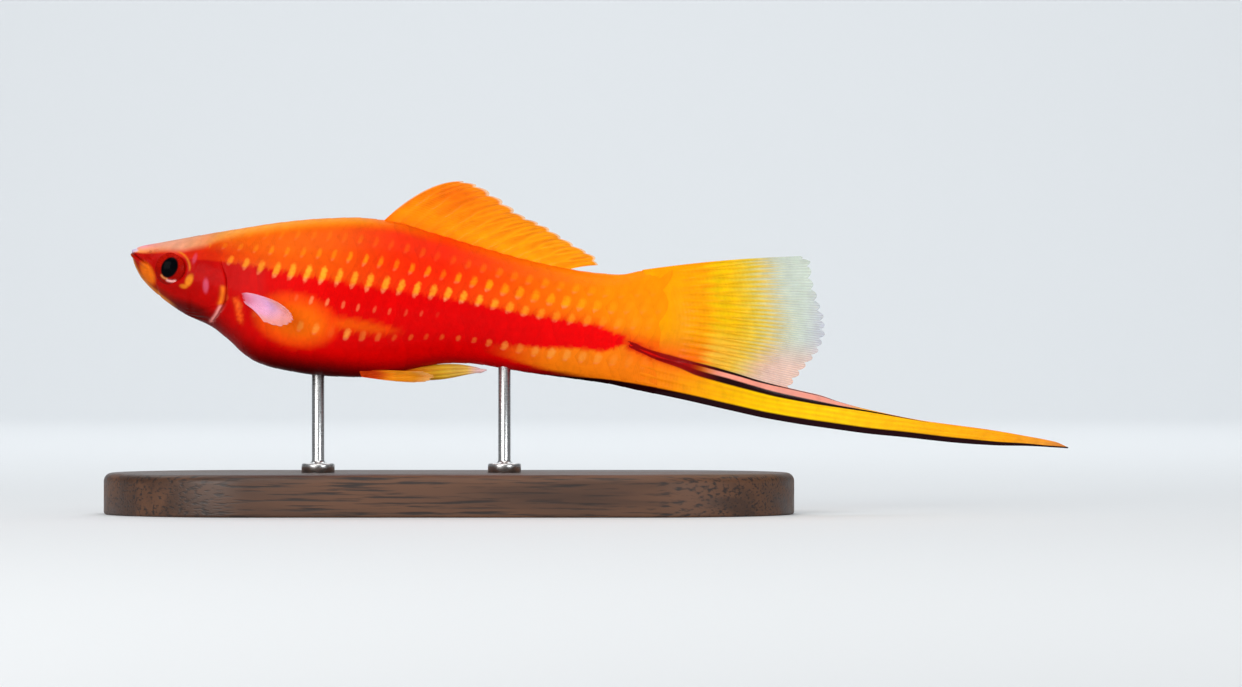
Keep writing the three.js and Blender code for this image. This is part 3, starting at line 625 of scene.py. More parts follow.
def bumped(tree, shader, height, strength, distance):
    """Fine relief on a shader, where a height of 1 stands out by distance, in metres."""
    bump = add(tree, "Bump", {"Height": height, "Strength": strength, "Distance": distance})
    tree.links.new(bump.outputs["Normal"], shader.inputs["Normal"])


skin_wet, tree, shader, paint = wet_material("wet_skin", 0.42, 0.02, {
    "Subsurface Weight": 0.08, "Subsurface Radius": (0.0012, 0.0004, 0.0002),
})
blotched = mottled(tree, paint["Color"], 900, 0.88, 1.08)
tree.links.new(black_lined(tree, blotched), shader.inputs["Base Color"])
place = tree.nodes.new("ShaderNodeTexCoord").outputs["Object"]
pores = add(tree, "TexVoronoi", {"Vector": place, "Scale": 3200.0}, feature="SMOOTH_F1")
grain = maths(tree, "ADD", pores.outputs["Distance"], noise(tree, 1400.0, 5.0))
bumped(tree, shader, grain, 0.35, 0.00006)
skin.data.materials.append(skin_wet)
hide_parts("head", "lower_jaw", "gill_cover_left", "gill_cover_right", "trunk", "tail")

# Scales: thin overlapping plates of bone and skin in long rows from the gill opening to the tail
# fin. Each is rooted in the skin and rises to a free edge that lies on the fish's outline, and
# those along the red stripe carry the gold flecks.
PITCH = 2.27
SCALE_LENGTH = 2.2 * PITCH
SCALE_RISE = 0.09
SCALE_THICKNESS = 0.02
FLECK_SHIFT = 0.86
SCALE_CELLS = 11
ROWS_ON_A_SIDE = 7
bright_row = through((16, 0.342), (30, 0.377), (35, 0.4), (57, 0.458), (75, 0.45))
upper_spacing = through((16, 0.104), (30, 0.106), (58, 0.122), (76, 0.13))
lower_spacing = through((16, 0.138), (30, 0.146), (58, 0.152), (76, 0.158))
scale_rng = np.random.default_rng(7)

ARC_STEP, ARC_CELLS = 0.5, 180
arc_x = np.arange(8, 82.01, ARC_STEP)
arc_turn = np.linspace(0, np.pi, 2 * ARC_CELLS + 1)
arc_share = np.linspace(0, 1, ARC_CELLS + 1)
arc_grid = section(*np.meshgrid(arc_x, arc_turn, indexing="ij"))
arc_length = np.cumsum(np.linalg.norm(np.diff(arc_grid, axis=1), axis=-1), axis=1)
arc_length = np.concatenate([np.zeros((len(arc_x), 1)), arc_length], 1)
turn_table = np.stack([np.interp(arc_share, row / row[-1], arc_turn) for row in arc_length])


def on_body(x, share):
    """Point on the right flank at x and a share of the way from the back (0) to the belly (1),
    measured round the section; negative shares and those past 1 run on over the midline."""
    folded = np.abs(share)
    folded = np.where(folded > 1, 2 - folded, folded)
    i = np.clip((x - arc_x[0]) / ARC_STEP, 0, len(arc_x) - 1.001)
    k = np.clip(folded * ARC_CELLS, 0, ARC_CELLS - 0.001)
    i0, k0 = i.astype(int), k.astype(int)
    part_i, part_k = i - i0, k - k0
    turn = mix(mix(turn_table[i0, k0], turn_table[i0, k0 + 1], part_k),
               mix(turn_table[i0 + 1, k0], turn_table[i0 + 1, k0 + 1], part_k), part_i)
    point = section(x, turn)
    point[..., 1] *= np.where((share < 0) | (share > 1), -1, 1)
    return point


def scale_rows(side):
    """Where the scales of one side sit: (x of the free edge, share round the body, row). The rows
    along the middle of the back (0) and of the belly (8) go with the right side."""
    places = []
    for row in range(0, ROWS_ON_A_SIDE + 2):
        first = 10.8 if row < 3 else 15.2
        for column in range(40):
            x = first - first % PITCH + FLECK_SHIFT + PITCH * (column + 0.5 * (row % 2))
            spacing = upper_spacing(x) if row < 3 else lower_spacing(x)
            share = bright_row(x) + (row - 3) * spacing
            if x < first or x > body_end(0) + 0.5 or share > 0.97 or share < 0.02:
                continue
            places.append((x, float(share), row))
    for column in range(40):
        x = 9.5 + PITCH * column
        if side > 0 and x < 77 and not 35.4 < x < 63.5:
            places.append((x, 0.0, 0))
        if side > 0 and 17 < x < 77:
            places.append((x, 1.0, 8))
    return np.array(places).T


def flecks(x, row):
    """How strongly a scale of each row shows its fleck, half its length along the scale, half its
    width across it and how pink it is, each as it changes along the fish."""
    along = {
        1: (
            (16, 22, 45, 55, 66, 74), (0.1, 0.16, 0.12, 0.26, 0.34, 0.1),
            (0.06, 0.06, 0.065, 0.09, 0.1, 0.1), (0.28, 0.28, 0.28, 0.32, 0.32, 0.32), 0.0,
        ),
        2: (
            (14, 20, 32, 45, 53, 62, 70, 76), (0.2, 0.34, 0.48, 0.46, 0.66, 0.7, 0.45, 0.15),
            (0.06, 0.062, 0.065, 0.07, 0.1, 0.11, 0.11, 0.1),
            (0.25, 0.26, 0.27, 0.29, 0.38, 0.4, 0.38, 0.38), 0.0,
        ),
        3: (
            (12, 17, 22, 46, 52, 56, 64, 72, 77), (0.4, 0.7, 0.95, 0.95, 0.85, 0.75, 0.5, 0.4, 0.1),
            (0.07, 0.08, 0.088, 0.09, 0.095, 0.1, 0.1, 0.1, 0.1),
            (0.26, 0.3, 0.33, 0.32, 0.3, 0.3, 0.3, 0.3, 0.3), 0.1,
        ),
        4: (
            (24, 27, 29, 33, 37, 41, 46), (0.0, 0.75, 0.7, 0.5, 0.25, 0.3, 0.0),
            (0.05, 0.055, 0.05, 0.05, 0.045, 0.045, 0.045),
            (0.12, 0.14, 0.14, 0.13, 0.12, 0.12, 0.12), 0.85,
        ),
        5: (
            (20, 26, 30, 36, 40, 51, 55, 60, 70, 75), (0.1, 0.45, 0.85, 0.7, 0.15, 0.2, 0.6, 0.7, 0.45, 0.1),
            (0.08, 0.085, 0.09, 0.085, 0.06, 0.065, 0.09, 0.1, 0.1, 0.1),
            (0.17, 0.18, 0.2, 0.18, 0.12, 0.14, 0.22, 0.28, 0.28, 0.28), 0.35,
        ),
    }
    made = np.zeros((len(x), 4)) + (0, 0.1, 0.3, 0)
    for number, (places, weight, length, width, pink) in along.items():
        here = np.stack([np.interp(x, places, value) for value in (weight, length, width)], -1)
        here = np.concatenate([here, np.full((len(x), 1), pink)], -1)
        made = np.where((row == number)[:, None], here, made)
    return made.T


def slab_faces(rows, columns):
    """Quads of a thin slab: a grid of rows x columns points, the same grid turned over behind it,
    and the wall between their rims."""
    front = grid_quads(rows, columns)
    rim = np.concatenate([
        np.arange(columns), np.arange(1, rows) * columns + columns - 1,
        (rows - 1) * columns + np.arange(columns - 2, -1, -1), np.arange(rows - 2, 0, -1) * columns,
    ])
    after, behind = np.roll(rim, -1), rows * columns
    wall = np.stack([rim, after, after + behind, rim + behind], -1)
    return np.concatenate([front, front[:, ::-1] + behind, wall])


def make_scales(name, side):
    """One side's scales as a joined mesh. Over a scale, a runs from its root (0) to its free edge
    (1) and v across it (-1 to 1); the free edge sags by PITCH/2 |v|^1.8, and the plate rises from
    SCALE_RISE under the outline to the outline itself, doming a little in the middle."""
    edge_x, share, row = scale_rows(side)
    count, n = len(edge_x), SCALE_CELLS + 1
    a, v = np.meshgrid(np.linspace(0, 1, n), np.linspace(-1, 1, n), indexing="ij")
    sag = PITCH / 2 * np.abs(v) ** 1.8
    root = (edge_x - SCALE_LENGTH)[:, None, None]
    x = root + a * (SCALE_LENGTH - sag) * (1 + 0.01 * scale_rng.standard_normal(count))[:, None, None]
    spread = np.sqrt(np.clip(1 - (1 - np.clip(a / 0.35, 0, 1)) ** 2, 0, 1)) * 0.25 + 0.75
    above = np.where(row <= 3, upper_spacing(edge_x), lower_spacing(edge_x))[:, None, None]
    below = np.where(row < 3, upper_spacing(edge_x), lower_spacing(edge_x))[:, None, None]
    around = share[:, None, None] + v * spread * 1.02 * np.where(v < 0, above, below)
    near_x, near_share = 0.05, 0.004
    point = on_body(x, around)
    normal = np.cross(on_body(x + near_x, around) - on_body(x - near_x, around),
                      on_body(x, around + near_share) - on_body(x, around - near_share))
    normal /= np.maximum(np.linalg.norm(normal, axis=-1, keepdims=True), 1e-9)
    lift = (0.0015 * scale_rng.standard_normal(count))[:, None, None]
    height = -SCALE_RISE * (1 - a) - 0.03 * (1 - smooth(a, 0, 0.15)) - 0.012 * v**2 + lift * a
    height = height + 0.008 * ((share < 0.01) | (share > 0.99))[:, None, None]
    top = point + normal * height[..., None]
    bottom = point + normal * (height - SCALE_THICKNESS * (0.35 + 0.65 * (1 - a**3)))[..., None]
    if side < 0:
        top[..., 1] *= -1
        bottom[..., 1] *= -1
    points = np.concatenate([top.reshape(count, -1, 3), bottom.reshape(count, -1, 3)], 1)
    one = slab_faces(n, n)[:, ::side]
    quads = (one[None] + (np.arange(count) * 2 * n * n)[:, None, None]).reshape(-1, 4)
    weight, length, width, pink = flecks(edge_x - 0.5 * PITCH, row)
    uneven = np.where((row == 4) | (row == 5), 0.35, 0.14)
    weight = weight * np.clip(1 + uneven * scale_rng.standard_normal(count), 0, 1.3)
    layout = np.stack([0 * x + a, 0 * x + v, 0 * x + weight[:, None, None]], -1).reshape(count, -1, 3)
    layout = np.concatenate([layout, layout], 1).reshape(-1, 3)
    fleck = np.repeat(np.stack([length, width, pink], -1), 2 * n * n, 0)
    colours = markings(points[..., 0], points[..., 2]).reshape(-1, 3)
    tint = np.repeat(1 + 0.025 * scale_rng.standard_normal(count), 2 * n * n)[:, None]
    lines = sword_lines(points[..., 0], points[..., 2]).reshape(-1, 3)
    piece = new_piece(
        name, points.reshape(-1, 3), quads, (), colours * tint,
        {"Scale": layout, "Fleck": fleck, "Lines": lines}, crisp=True,
    )
    roots = on_body(edge_x - SCALE_LENGTH * 0.6, share)
    patch = np.stack([(roots[:, 0] - 8) / 80, 0.03 + 0.9 * np.clip(share, 0, 1)], -1)
    uv = patch[:, None, :] + 0.003 * (np.stack([a, (v + 1) / 2], -1).reshape(-1, 2) - 0.5)[None]
    uv = np.concatenate([uv, uv], 1).reshape(-1, 2)
    corner = np.empty(len(piece.data.loops), np.int32)
    piece.data.loops.foreach_get("vertex_index", corner)
    layer = piece.data.uv_layers.new(name="OFBake")
    layer.data.foreach_set("uv", uv[corner].astype(np.float32).ravel())
    return piece


scale_wet, tree, shader, paint = wet_material("wet_scales", 0.4, 0.025, {
    "Subsurface Weight": 0.06, "Subsurface Radius": (0.0010, 0.0004, 0.0002),
})
layout = add(tree, "Attribute", {}, attribute_name="Scale").outputs["Vector"]
a, v, weight = add(tree, "SeparateXYZ", {"Vector": layout}).outputs
fleck = add(tree, "Attribute", {}, attribute_name="Fleck").outputs["Vector"]
length, width, pink = add(tree, "SeparateXYZ", {"Vector": fleck}).outputs
lean = maths(tree, "MULTIPLY", v, -0.12)
out_a = maths(tree, "DIVIDE", maths(tree, "SUBTRACT", a, maths(tree, "ADD", lean, 0.8)), length)
out_v = maths(tree, "DIVIDE", v, width)
far = maths(tree, "ADD", maths(tree, "POWER", maths(tree, "ABSOLUTE", out_a), 2.0),
            maths(tree, "POWER", maths(tree, "ABSOLUTE", out_v), 2.4))
ragged = noise(tree, 2400.0, 3.0)
far = maths(tree, "ADD", far, maths(tree, "MULTIPLY", maths(tree, "SUBTRACT", ragged, 0.5), 2.2))
dot = maths(tree, "MULTIPLY", step(tree, far, 2.1, -0.5), weight)
tip = maths(tree, "MAXIMUM", step(tree, out_v, 0.3, 1.1), pink)
fleck = painted(tree, tip, (*rgb(252, 166, 14), 1), (*rgb(252, 150, 104), 1))
ground = mottled(tree, paint["Color"], 1100, 0.93, 1.05)
# painted shade: each scale darker towards its root, where the scale ahead overlies it, and a little lighter
# at its free edge
ground = dimmed(tree, ground, level(tree, a, 0.5, 1.0, 0.95, 1.02))
tree.links.new(black_lined(tree, painted(tree, dot, ground, fleck)), shader.inputs["Base Color"])
rings_of_growth = maths(tree, "SINE", maths(tree, "MULTIPLY", a, 95.0))
spokes = maths(tree, "SINE", maths(tree, "MULTIPLY", v, 30.0))
lines = maths(tree, "ADD", rings_of_growth, maths(tree, "MULTIPLY", spokes, 0.5))
bumped(tree, shader, lines, 0.25, 0.000012)
for name, side in (("scales_left", -1), ("scales_right", 1)):
    make_scales(name, side).data.materials.append(scale_wet)

# Eyes: a ball painted with a dark red iris and a tall black pupil, in which the round lens stands
# a little proud. Each is set in its socket under the rim of the skin.
EYE_SEAT = 2.44
EYE_DEPTH = 1.56
BALL_RADIUS = 2.6
PUPIL_AT = (-0.4, 0.1)
PUPIL_SIZE = (1.14, 1.46)
PUPIL_LEAN = 0.14
LENS_BULGE = 0.03
EYE_SIDES = 128
IRIS_RED = rgb(146, 10, 5)
IRIS_DARK = rgb(52, 2, 3)
IRIS_BRIGHT = rgb(196, 26, 8)
IRIS_GOLD = rgb(228, 150, 84)
IRIS_PINK_REFLECTION = rgb(255, 186, 180)
PUPIL_BLACK = rgb(6, 7, 10)


def from_pupil(dx, dz):
    """How far an offset from the eye's middle is from the pupil's, 1 on its leaning oval edge."""
    px, pz = dx - PUPIL_AT[0] - PUPIL_LEAN * (dz - PUPIL_AT[1]), dz - PUPIL_AT[1]
    return np.hypot(px / PUPIL_SIZE[0], pz / PUPIL_SIZE[1])


def eye_colour(dx, dz):
    """Colour of the eye at an offset from its middle: pupil, red iris streaked outwards, a painted
    pink reflection under the pupil and a golden crescent low in front."""
    far = np.hypot(dx, dz)
    angle = np.arctan2(dz, dx)
    to_pupil = from_pupil(dx, dz)
    streaks = 0.5 + 0.25 * np.sin(angle * 23 + 2 * np.sin(angle * 7)) + 0.25 * np.sin(angle * 41)
    colour = over(IRIS_RED, IRIS_BRIGHT, 0.55 * streaks * smooth(dz, -1.2, 1.4))
    colour = over(colour, IRIS_DARK, 0.7 * (1 - smooth(to_pupil, 1.0, 1.16)))
    # painted reflection: a pink crescent low on the eye
    pink = hump(far - 1.84, 0.16) * (1 - smooth(np.abs(angle + math.pi / 2 - 0.05), 0.28, 0.5))
    colour = over(colour, IRIS_PINK_REFLECTION, pink)
    gold = hump(to_pupil - 1.15, 0.1) * (1 - smooth(np.abs(angle + 2.2), 0.2, 0.42))
    colour = over(colour, IRIS_GOLD, 0.7 * gold)
    return over(colour, PUPIL_BLACK, 1 - smooth(to_pupil, 0.97, 1.02))


def make_eye(name, side):
    """A flattened ball turned about the y axis: out(r) = depth (1 - (r/R)^2)^(1/2), with the lens
    standing a little proud inside the pupil's edge."""
    bend = np.linspace(0, np.pi, 97)[1:-1]
    angle = np.arange(EYE_SIDES) * 2 * np.pi / EYE_SIDES
    r = (BALL_RADIUS * np.sin(bend))[:, None] + 0 * angle
    dx, dz = r * np.cos(angle), r * np.sin(angle)
    out = EYE_DEPTH * np.cos(bend)[:, None] + 0 * angle
    lens_out = LENS_BULGE * np.sqrt(np.clip(1 - from_pupil(dx, dz) ** 2, 0, 1))
    out += np.where(out > 0, lens_out, 0)
    grid = np.stack([EYE_X + dx, side * (EYE_SEAT + out), EYE_Z + dz], -1)
    tip = EYE_SEAT + EYE_DEPTH + LENS_BULGE * math.sqrt(1 - (PUPIL_AT[0] / PUPIL_SIZE[0]) ** 2)
    poles = [(EYE_X, side * tip, EYE_Z), (EYE_X, side * (EYE_SEAT - EYE_DEPTH), EYE_Z)]
    colours = np.concatenate([eye_colour(dx, dz).reshape(-1, 3), [PUPIL_BLACK, IRIS_DARK]])
    return tube_piece(name, grid, poles, flip=side > 0, colours=colours)


eye_clear, tree, shader, paint = wet_material("clear_eye", 0.16, 0.008, {
    "Coat Roughness": 0.03, "Specular IOR Level": 0.01,
})
fibres = mottled(tree, paint["Color"], 5200.0, 0.8, 1.2, detail=3.0)
tree.links.new(fibres, shader.inputs["Base Color"])
for word, side in (("left", -1), ("right", 1)):
    eye = make_eye(f"eyeball_{word}", side)
    eye.data.materials.append(eye_clear)
    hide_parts(f"eye_{word}")

# Dorsal fin: soft rays under one thin skin, gold with darker streaks between the rays and a pale
# rim. Each ray forks twice on its way out, and the skin's edge falls in between the ray tips.
MEMBRANE = 0.13
FIN_RIM = 0.05


def vane(name, middle, half, columns, rows, paint_at):
    """A closed blade: middle(r, t) is its middle surface and its two faces lie half(r, t) to each
    side of it along the normal. paint_at(r, t, point) gives (colour, opacity), and the attribute
    Ray holds r and t."""
    small = 1e-3
    r, t = np.meshgrid(np.linspace(0, 1, columns + 1), np.linspace(0, 1, rows + 1), indexing="ij")
    point = middle(r, t)
    across = middle(np.minimum(r + small, 1), t) - middle(np.maximum(r - small, 0), t)
    along = middle(r, np.minimum(t + small, 1)) - middle(r, np.maximum(t - small, 0))
    out = np.cross(across, along)
    out /= np.maximum(np.linalg.norm(out, axis=-1, keepdims=True), 1e-12)
    out = out * half(r, t)[..., None]
    faces = np.concatenate([(point + out).reshape(-1, 3), (point - out).reshape(-1, 3)])
    colour, alpha = paint_at(r, t, point)
    colours = np.concatenate([colour, alpha[..., None]], -1).reshape(-1, 4)
    layout = np.stack([r, t, 0 * r], -1).reshape(-1, 3)
    return new_piece(
        name, faces, slab_faces(columns + 1, rows + 1), (), np.concatenate([colours, colours]),
        {"Ray": np.concatenate([layout, layout]), "Lines": sword_lines(faces[:, 0], faces[:, 2])},
        crisp=True,
    )


def ray_height(phase, t, first, second):
    """Height of a forking ray over the membrane, 0 to 1: at the distance first along the fin its
    ridge parts into two, and at second each of these into two more."""
    off = np.abs(phase - np.round(phase))
    half_gap = 0.25 * smooth(t, first, first + 0.28)
    off = np.abs(off - half_gap)
    quarter_gap = 0.125 * smooth(t, second, second + 0.25)
    off = np.abs(off - quarter_gap)
    width = mix(mix(0.2, 0.125, smooth(t, first, first + 0.28)), 0.065, smooth(t, second, second + 0.25))
    return hump(off, width)


def fin_material(name, roughness, segments, lined=False):
    """Fin skin: the painted colour and opacity, bumped by the joints of the rays along t."""
    material, tree, shader, paint = wet_material(name, roughness, 0.1, {
        "Subsurface Weight": 0.15, "Subsurface Radius": (0.0006, 0.0004, 0.0002),
    })
    blotched = mottled(tree, paint["Color"], 700, 0.9, 1.08)
    if lined:
        blotched = black_lined(tree, blotched)
    tree.links.new(blotched, shader.inputs["Base Color"])
    tree.links.new(paint["Alpha"], shader.inputs["Alpha"])
    ray = add(tree, "Attribute", {}, attribute_name="Ray").outputs["Vector"]
    t = add(tree, "SeparateXYZ", {"Vector": ray}).outputs[1]
    joints = maths(tree, "SINE", maths(tree, "MULTIPLY", t, segments * 2 * math.pi))
    bumped(tree, shader, joints, 0.3, 0.00002)
    return material


DORSAL_RAYS = 12
DORSAL_FORKS = (0.34, 0.68)
DORSAL_FROM, DORSAL_TO, DORSAL_SUNK = 35.0, 61.6, 0.9
dorsal_tip_x = through(
    (0, 46), (0.1, 48.3), (0.22, 51.2), (0.4, 55.3), (0.6, 59.6), (0.8, 64), (0.93, 66.8), (1, 67.3),
)
dorsal_tip_z = through(
    (0, 16.8), (0.1, 16.6), (0.22, 15.3), (0.4, 13.2), (0.6, 11.7), (0.8, 9.7), (0.93, 8.5), (1, 7.5),
)
dorsal_bow = through((0, 1.7), (0.3, 1.2), (0.7, 0.8), (1, 0.25))
ray_rng = np.random.default_rng(11)
dorsal_ray_length = 1 - 0.028 * ray_rng.random(DORSAL_RAYS + 1)


def edge_reach(r, t, rays, lengths, scallop):
    """How far out a point t of the fin lies: short of 1 between the rays, by scallop times the
    square of the way to the next ray, and each ray has its own length."""
    phase = r * rays
    off = 2 * np.abs(phase - np.round(phase))
    length = np.interp(phase, np.arange(rays + 1), lengths)
    return t * mix(1, length * (1 - scallop * off**2), t**2)


def dorsal_middle(r, t):
    """Straight from the root on the back to the tip line, arched upwards by the bow."""
    reach = edge_reach(r, t, DORSAL_RAYS, dorsal_ray_length, 0.07)
    root_x = mix(DORSAL_FROM, DORSAL_TO, r)
    x = mix(root_x, dorsal_tip_x(r), reach)
    z = mix(back(root_x) - DORSAL_SUNK, dorsal_tip_z(r), reach) + dorsal_bow(r) * 4 * reach * (1 - reach)
    wave = 0.22 * np.sin(r * DORSAL_RAYS * 0.9 + 0.6) * t**2
    return np.stack([x, wave, z], -1)


def dorsal_half(r, t):
    """Membrane, a thicker heel at the root, and the rays' ridges, all thinning towards the rim."""
    heel = 0.34 * (1 - smooth(t, 0, 0.3))
    front = 0.1 * hump(r, 0.012) * (1 - t)
    ridge = 0.15 * (1 - 0.75 * t) * ray_height(r * DORSAL_RAYS, t, *DORSAL_FORKS)
    return mix(MEMBRANE, FIN_RIM, t**1.5) + heel + front + ridge


def dorsal_paint(r, t, point):
    """Orange at the root and in front, gold behind, darker streaks along the rays, a pale rim."""
    ray = ray_height(r * DORSAL_RAYS, t, *DORSAL_FORKS)
    colour = over(rgb(250, 136, 5), rgb(253, 154, 6), smooth(r, 0.15, 0.7))
    front = hump(r - 0.14, 0.12) * window(t, 0.25, 0.6, 0.7, 0.9)
    colour = over(colour, rgb(242, 104, 4), 0.75 * front)
    streak = 0.5 + 0.5 * np.sin(r * DORSAL_RAYS * 5.1 + 3 * t)
    between = 0.5 * (1 - ray) * smooth(t, 0.1, 0.5) * (0.35 + 0.65 * streak)
    colour = over(colour, rgb(222, 96, 4), between)
    colour = over(colour, rgb(232, 148, 8), 0.4 * smooth(t, 0.6, 0.95) * smooth(r, 0.2, 0.5) * (1 - ray))
    colour = over(colour, rgb(250, 118, 4), 0.7 * (1 - smooth(t, 0.02, 0.2)) * (1 - smooth(r, 0.5, 0.9)))
    rim = smooth(t, 0.93, 0.98) + hump(r, 0.006) * smooth(t, 0.1, 0.4)
    colour = over(colour, rgb(238, 200, 166), 0.9 * np.clip(rim, 0, 1))
    alpha = 1 - 0.14 * smooth(t, 0.5, 1) * (1 - 0.7 * ray) - 0.05 * smooth(t, 0.95, 1)
    return colour, alpha


gold_fin = fin_material("gold_fin_skin", 0.42, 34)
dorsal = vane("dorsal_blade", dorsal_middle, dorsal_half, DORSAL_RAYS * 20, 64, dorsal_paint)
dorsal.data.materials.append(gold_fin)
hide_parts("dorsal_fin")

# Tail fin: a fan of rays from the fleshy end of the body, gold at its root and nearly colourless
# at its rim. The rays fork twice, and the sword runs along its lower edge.
CAUDAL_RAYS = 15
CAUDAL_FORKS = (0.3, 0.58)
CAUDAL_TOP, CAUDAL_FOOT, CAUDAL_SUNK = 7.7, -4.6, 0.9
caudal_tip_x = through(
    (0, 96.2), (0.06, 97.6), (0.2, 98.7), (0.36, 100.4), (0.48, 101.3), (0.62, 101), (0.78, 99.4),
    (0.9, 98.0), (1, 97.4),
)
caudal_tip_z = through(
    (0, 12.9), (0.06, 12.4), (0.2, 9.2), (0.36, 5.6), (0.48, 3.2), (0.62, 0.4), (0.78, -2.6),
    (0.9, -4.9), (1, -6.75),
)
caudal_bow = through((0, 0.35), (0.5, 0), (1, 0.1))
caudal_ray_length = 1 - 0.014 * ray_rng.random(CAUDAL_RAYS + 1)


def caudal_middle(r, t):
    """From the rounded end of the body to the fan's rim, rippled a little from side to side."""
    reach = edge_reach(r, t, CAUDAL_RAYS, caudal_ray_length, 0.028)
    root_z = mix(CAUDAL_TOP, CAUDAL_FOOT, r)
    root_x = body_end(root_z) - CAUDAL_SUNK
    x = mix(root_x, caudal_tip_x(r), reach)
    z = mix(root_z, caudal_tip_z(r), reach) + caudal_bow(r) * 4 * reach * (1 - reach)
    wave = 0.35 * np.sin(r * 7.5 + 0.8) * t**2
    return np.stack([x, wave, z], -1)


def caudal_half(r, t):
    """The fleshy root carries on the body's own thickness and thins out by a third of the way."""
    root_z = mix(CAUDAL_TOP, CAUDAL_FOOT, r)
    root_half = 0.9 * flank(76.0, root_z)
    heel = np.clip(root_half - MEMBRANE, 0, None) * (1 - smooth(t, 0.02, 0.42)) ** 1.3
    ridge = 0.14 * (1 - 0.7 * t) * ray_height(r * CAUDAL_RAYS, t, *CAUDAL_FORKS) * smooth(t, 0.12, 0.3)
    return mix(MEMBRANE, FIN_RIM, t) + heel + ridge


def caudal_paint(r, t, point):
    """The body's orange over the fleshy root, then gold rays in a paler membrane, and a cool,
    clear outer third that is pinkish below."""
    x, z = point[..., 0], point[..., 2]
    ray = ray_height(r * CAUDAL_RAYS, t, *CAUDAL_FORKS)
    ragged = 0.45 * np.sin(r * 61 + 2) + 0.35 * np.sin(r * 103) + 0.25 * np.sin(r * 211 + 1)
    fleshy = 84.4 - 1.5 * smooth(z, 2, 9) - smooth(-z, 2, 6) + ragged
    body = over(rgb(250, 158, 0), rgb(246, 120, 6), smooth(-z, 0, 4))
    fringe = over(rgb(238, 190, 6), rgb(240, 186, 60), smooth(-z, -2, 3))
    gold = over(fringe, rgb(232, 156, 6), 0.5 * ray)
    cool = over(rgb(204, 214, 198), rgb(196, 198, 206), smooth(x, 97, 101))
    cool = over(cool, rgb(238, 196, 176), smooth(-z, -1.5, 4))
    yellow = rgb(222, 208, 84)
    out = (x - fleshy) / np.maximum(caudal_tip_x(r) - fleshy, 1)
    colour = over(body, gold, smooth(x - fleshy, -1.2, 1.8))
    colour = over(colour, yellow, 0.75 * smooth(out, 0.18, 0.5) * (1 - 0.5 * ray))
    long_ray = 0.14 * ray * smooth(z, -5, 0)
    colour = over(colour, cool, smooth(out - long_ray, 0.3, 0.72))
    colour = root_glow(colour, x, z)
    alpha = 1 - 0.56 * smooth(out, 0.2, 0.9) * (1 - 0.5 * ray)
    return colour, alpha


clear_fin = fin_material("tail_fin_skin", 0.38, 40, lined=True)
caudal = vane("tail_fan", caudal_middle, caudal_half, CAUDAL_RAYS * 20, 72, caudal_paint)
caudal.data.materials.append(clear_fin)
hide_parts("caudal_fin")

# Sword: the lowest rays of the tail fin, drawn out into one long stiff blade of gold edged with
# black. Its thick root is sunk in the end of the body, beside the fan.
SWORD_FROM = 75.0
SWORD_RAYS = 5
sword_top = through(
    (72.5, -2.8), (79.1, -4.3), (84.7, -4.75), (89.4, -5.35), (93, -5.9), (98.3, -6.4), (101.7, -6.7),
    (104.5, -7.25), (109, -7.8), (118, -8.3), (126, -8.25), (133, -8.45), (136.5, -8.65),
    (SWORD_TIP, -9.2),
)


def sword_middle(r, t):
    """Between the sword's foot (r = 0) and its upper edge (r = 1), from its root to its tip."""
    x = mix(SWORD_FROM, SWORD_TIP, t)
    return np.stack([x, 0.12 * np.sin(x * 0.16), mix(sword_foot(x), sword_top(x), r)], -1)


def sword_half(r, t):
    """Thick where it leaves the body, ridged by its rays, rounded along both edges, thin at the
    tip."""
    x = mix(SWORD_FROM, SWORD_TIP, t)
    z = mix(sword_foot(x), sword_top(x), r)
    heel = np.clip(0.9 * flank(76.0, np.clip(z, -9.4, 8)) - 0.3, 0, None) * (1 - smooth(t, 0, 0.17))
    ridge = 0.07 * (1 - 0.6 * t) * ray_height(r * SWORD_RAYS, 0 * t, 0.3, 0.6)
    edge = np.sqrt(1 - 0.85 * (2 * np.abs(r - 0.5)) ** 6)
    return (mix(0.32, 0.13, t) + heel) * edge + ridge * edge


def sword_paint(r, t, point):
    """Yellow-gold with long streaks, a pink band along the upper edge near the fan, black edges."""
    x, z = point[..., 0], point[..., 2]
    gold = tone(
        (75, 252, 128, 8), (80, 253, 140, 8), (86, 254, 178, 4), (93, 255, 204, 2), (104, 254, 206, 16),
        (112, 252, 190, 16), (121, 251, 178, 14), (130, 244, 160, 20), (135, 230, 150, 52),
        (139, 196, 112, 70),
    )(x)
    streak = 0.5 + 0.5 * np.sin((z - sword_foot(x)) * 9 + 0.5 * np.sin(x * 0.35))
    colour = over(gold, rgb(238, 146, 10), 0.32 * streak * smooth(x, 80, 86))
    band = smooth(z, sword_stripe(x) - 0.1, sword_stripe(x) + 0.25) * smooth(x, 83.5, 87)
    colour = over(colour, rgb(252, 158, 142), 0.95 * band * (1 - smooth(x, 105, 110)))
    pale = smooth(r, 0.9, 1.0) * smooth(x, 106, 112)
    colour = over(colour, rgb(240, 130, 40), 0.6 * pale)
    colour = root_glow(colour, x, z)
    alpha = 1 - 0.25 * band * window(x, 88, 96, 105, 110)
    return colour, alpha


sword_skin = fin_material("sword_skin", 0.36, 120, lined=True)
sword = vane("sword_blade", sword_middle, sword_half, 72, 380, sword_paint)
sword.data.materials.append(sword_skin)
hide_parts("sword")

# Paired fins: small fans on a short root, the pectorals pink and glassy behind the gill openings,
# the pelvics gold and folded back under the belly.
PAIRED_FORKS = (0.35, 0.65)


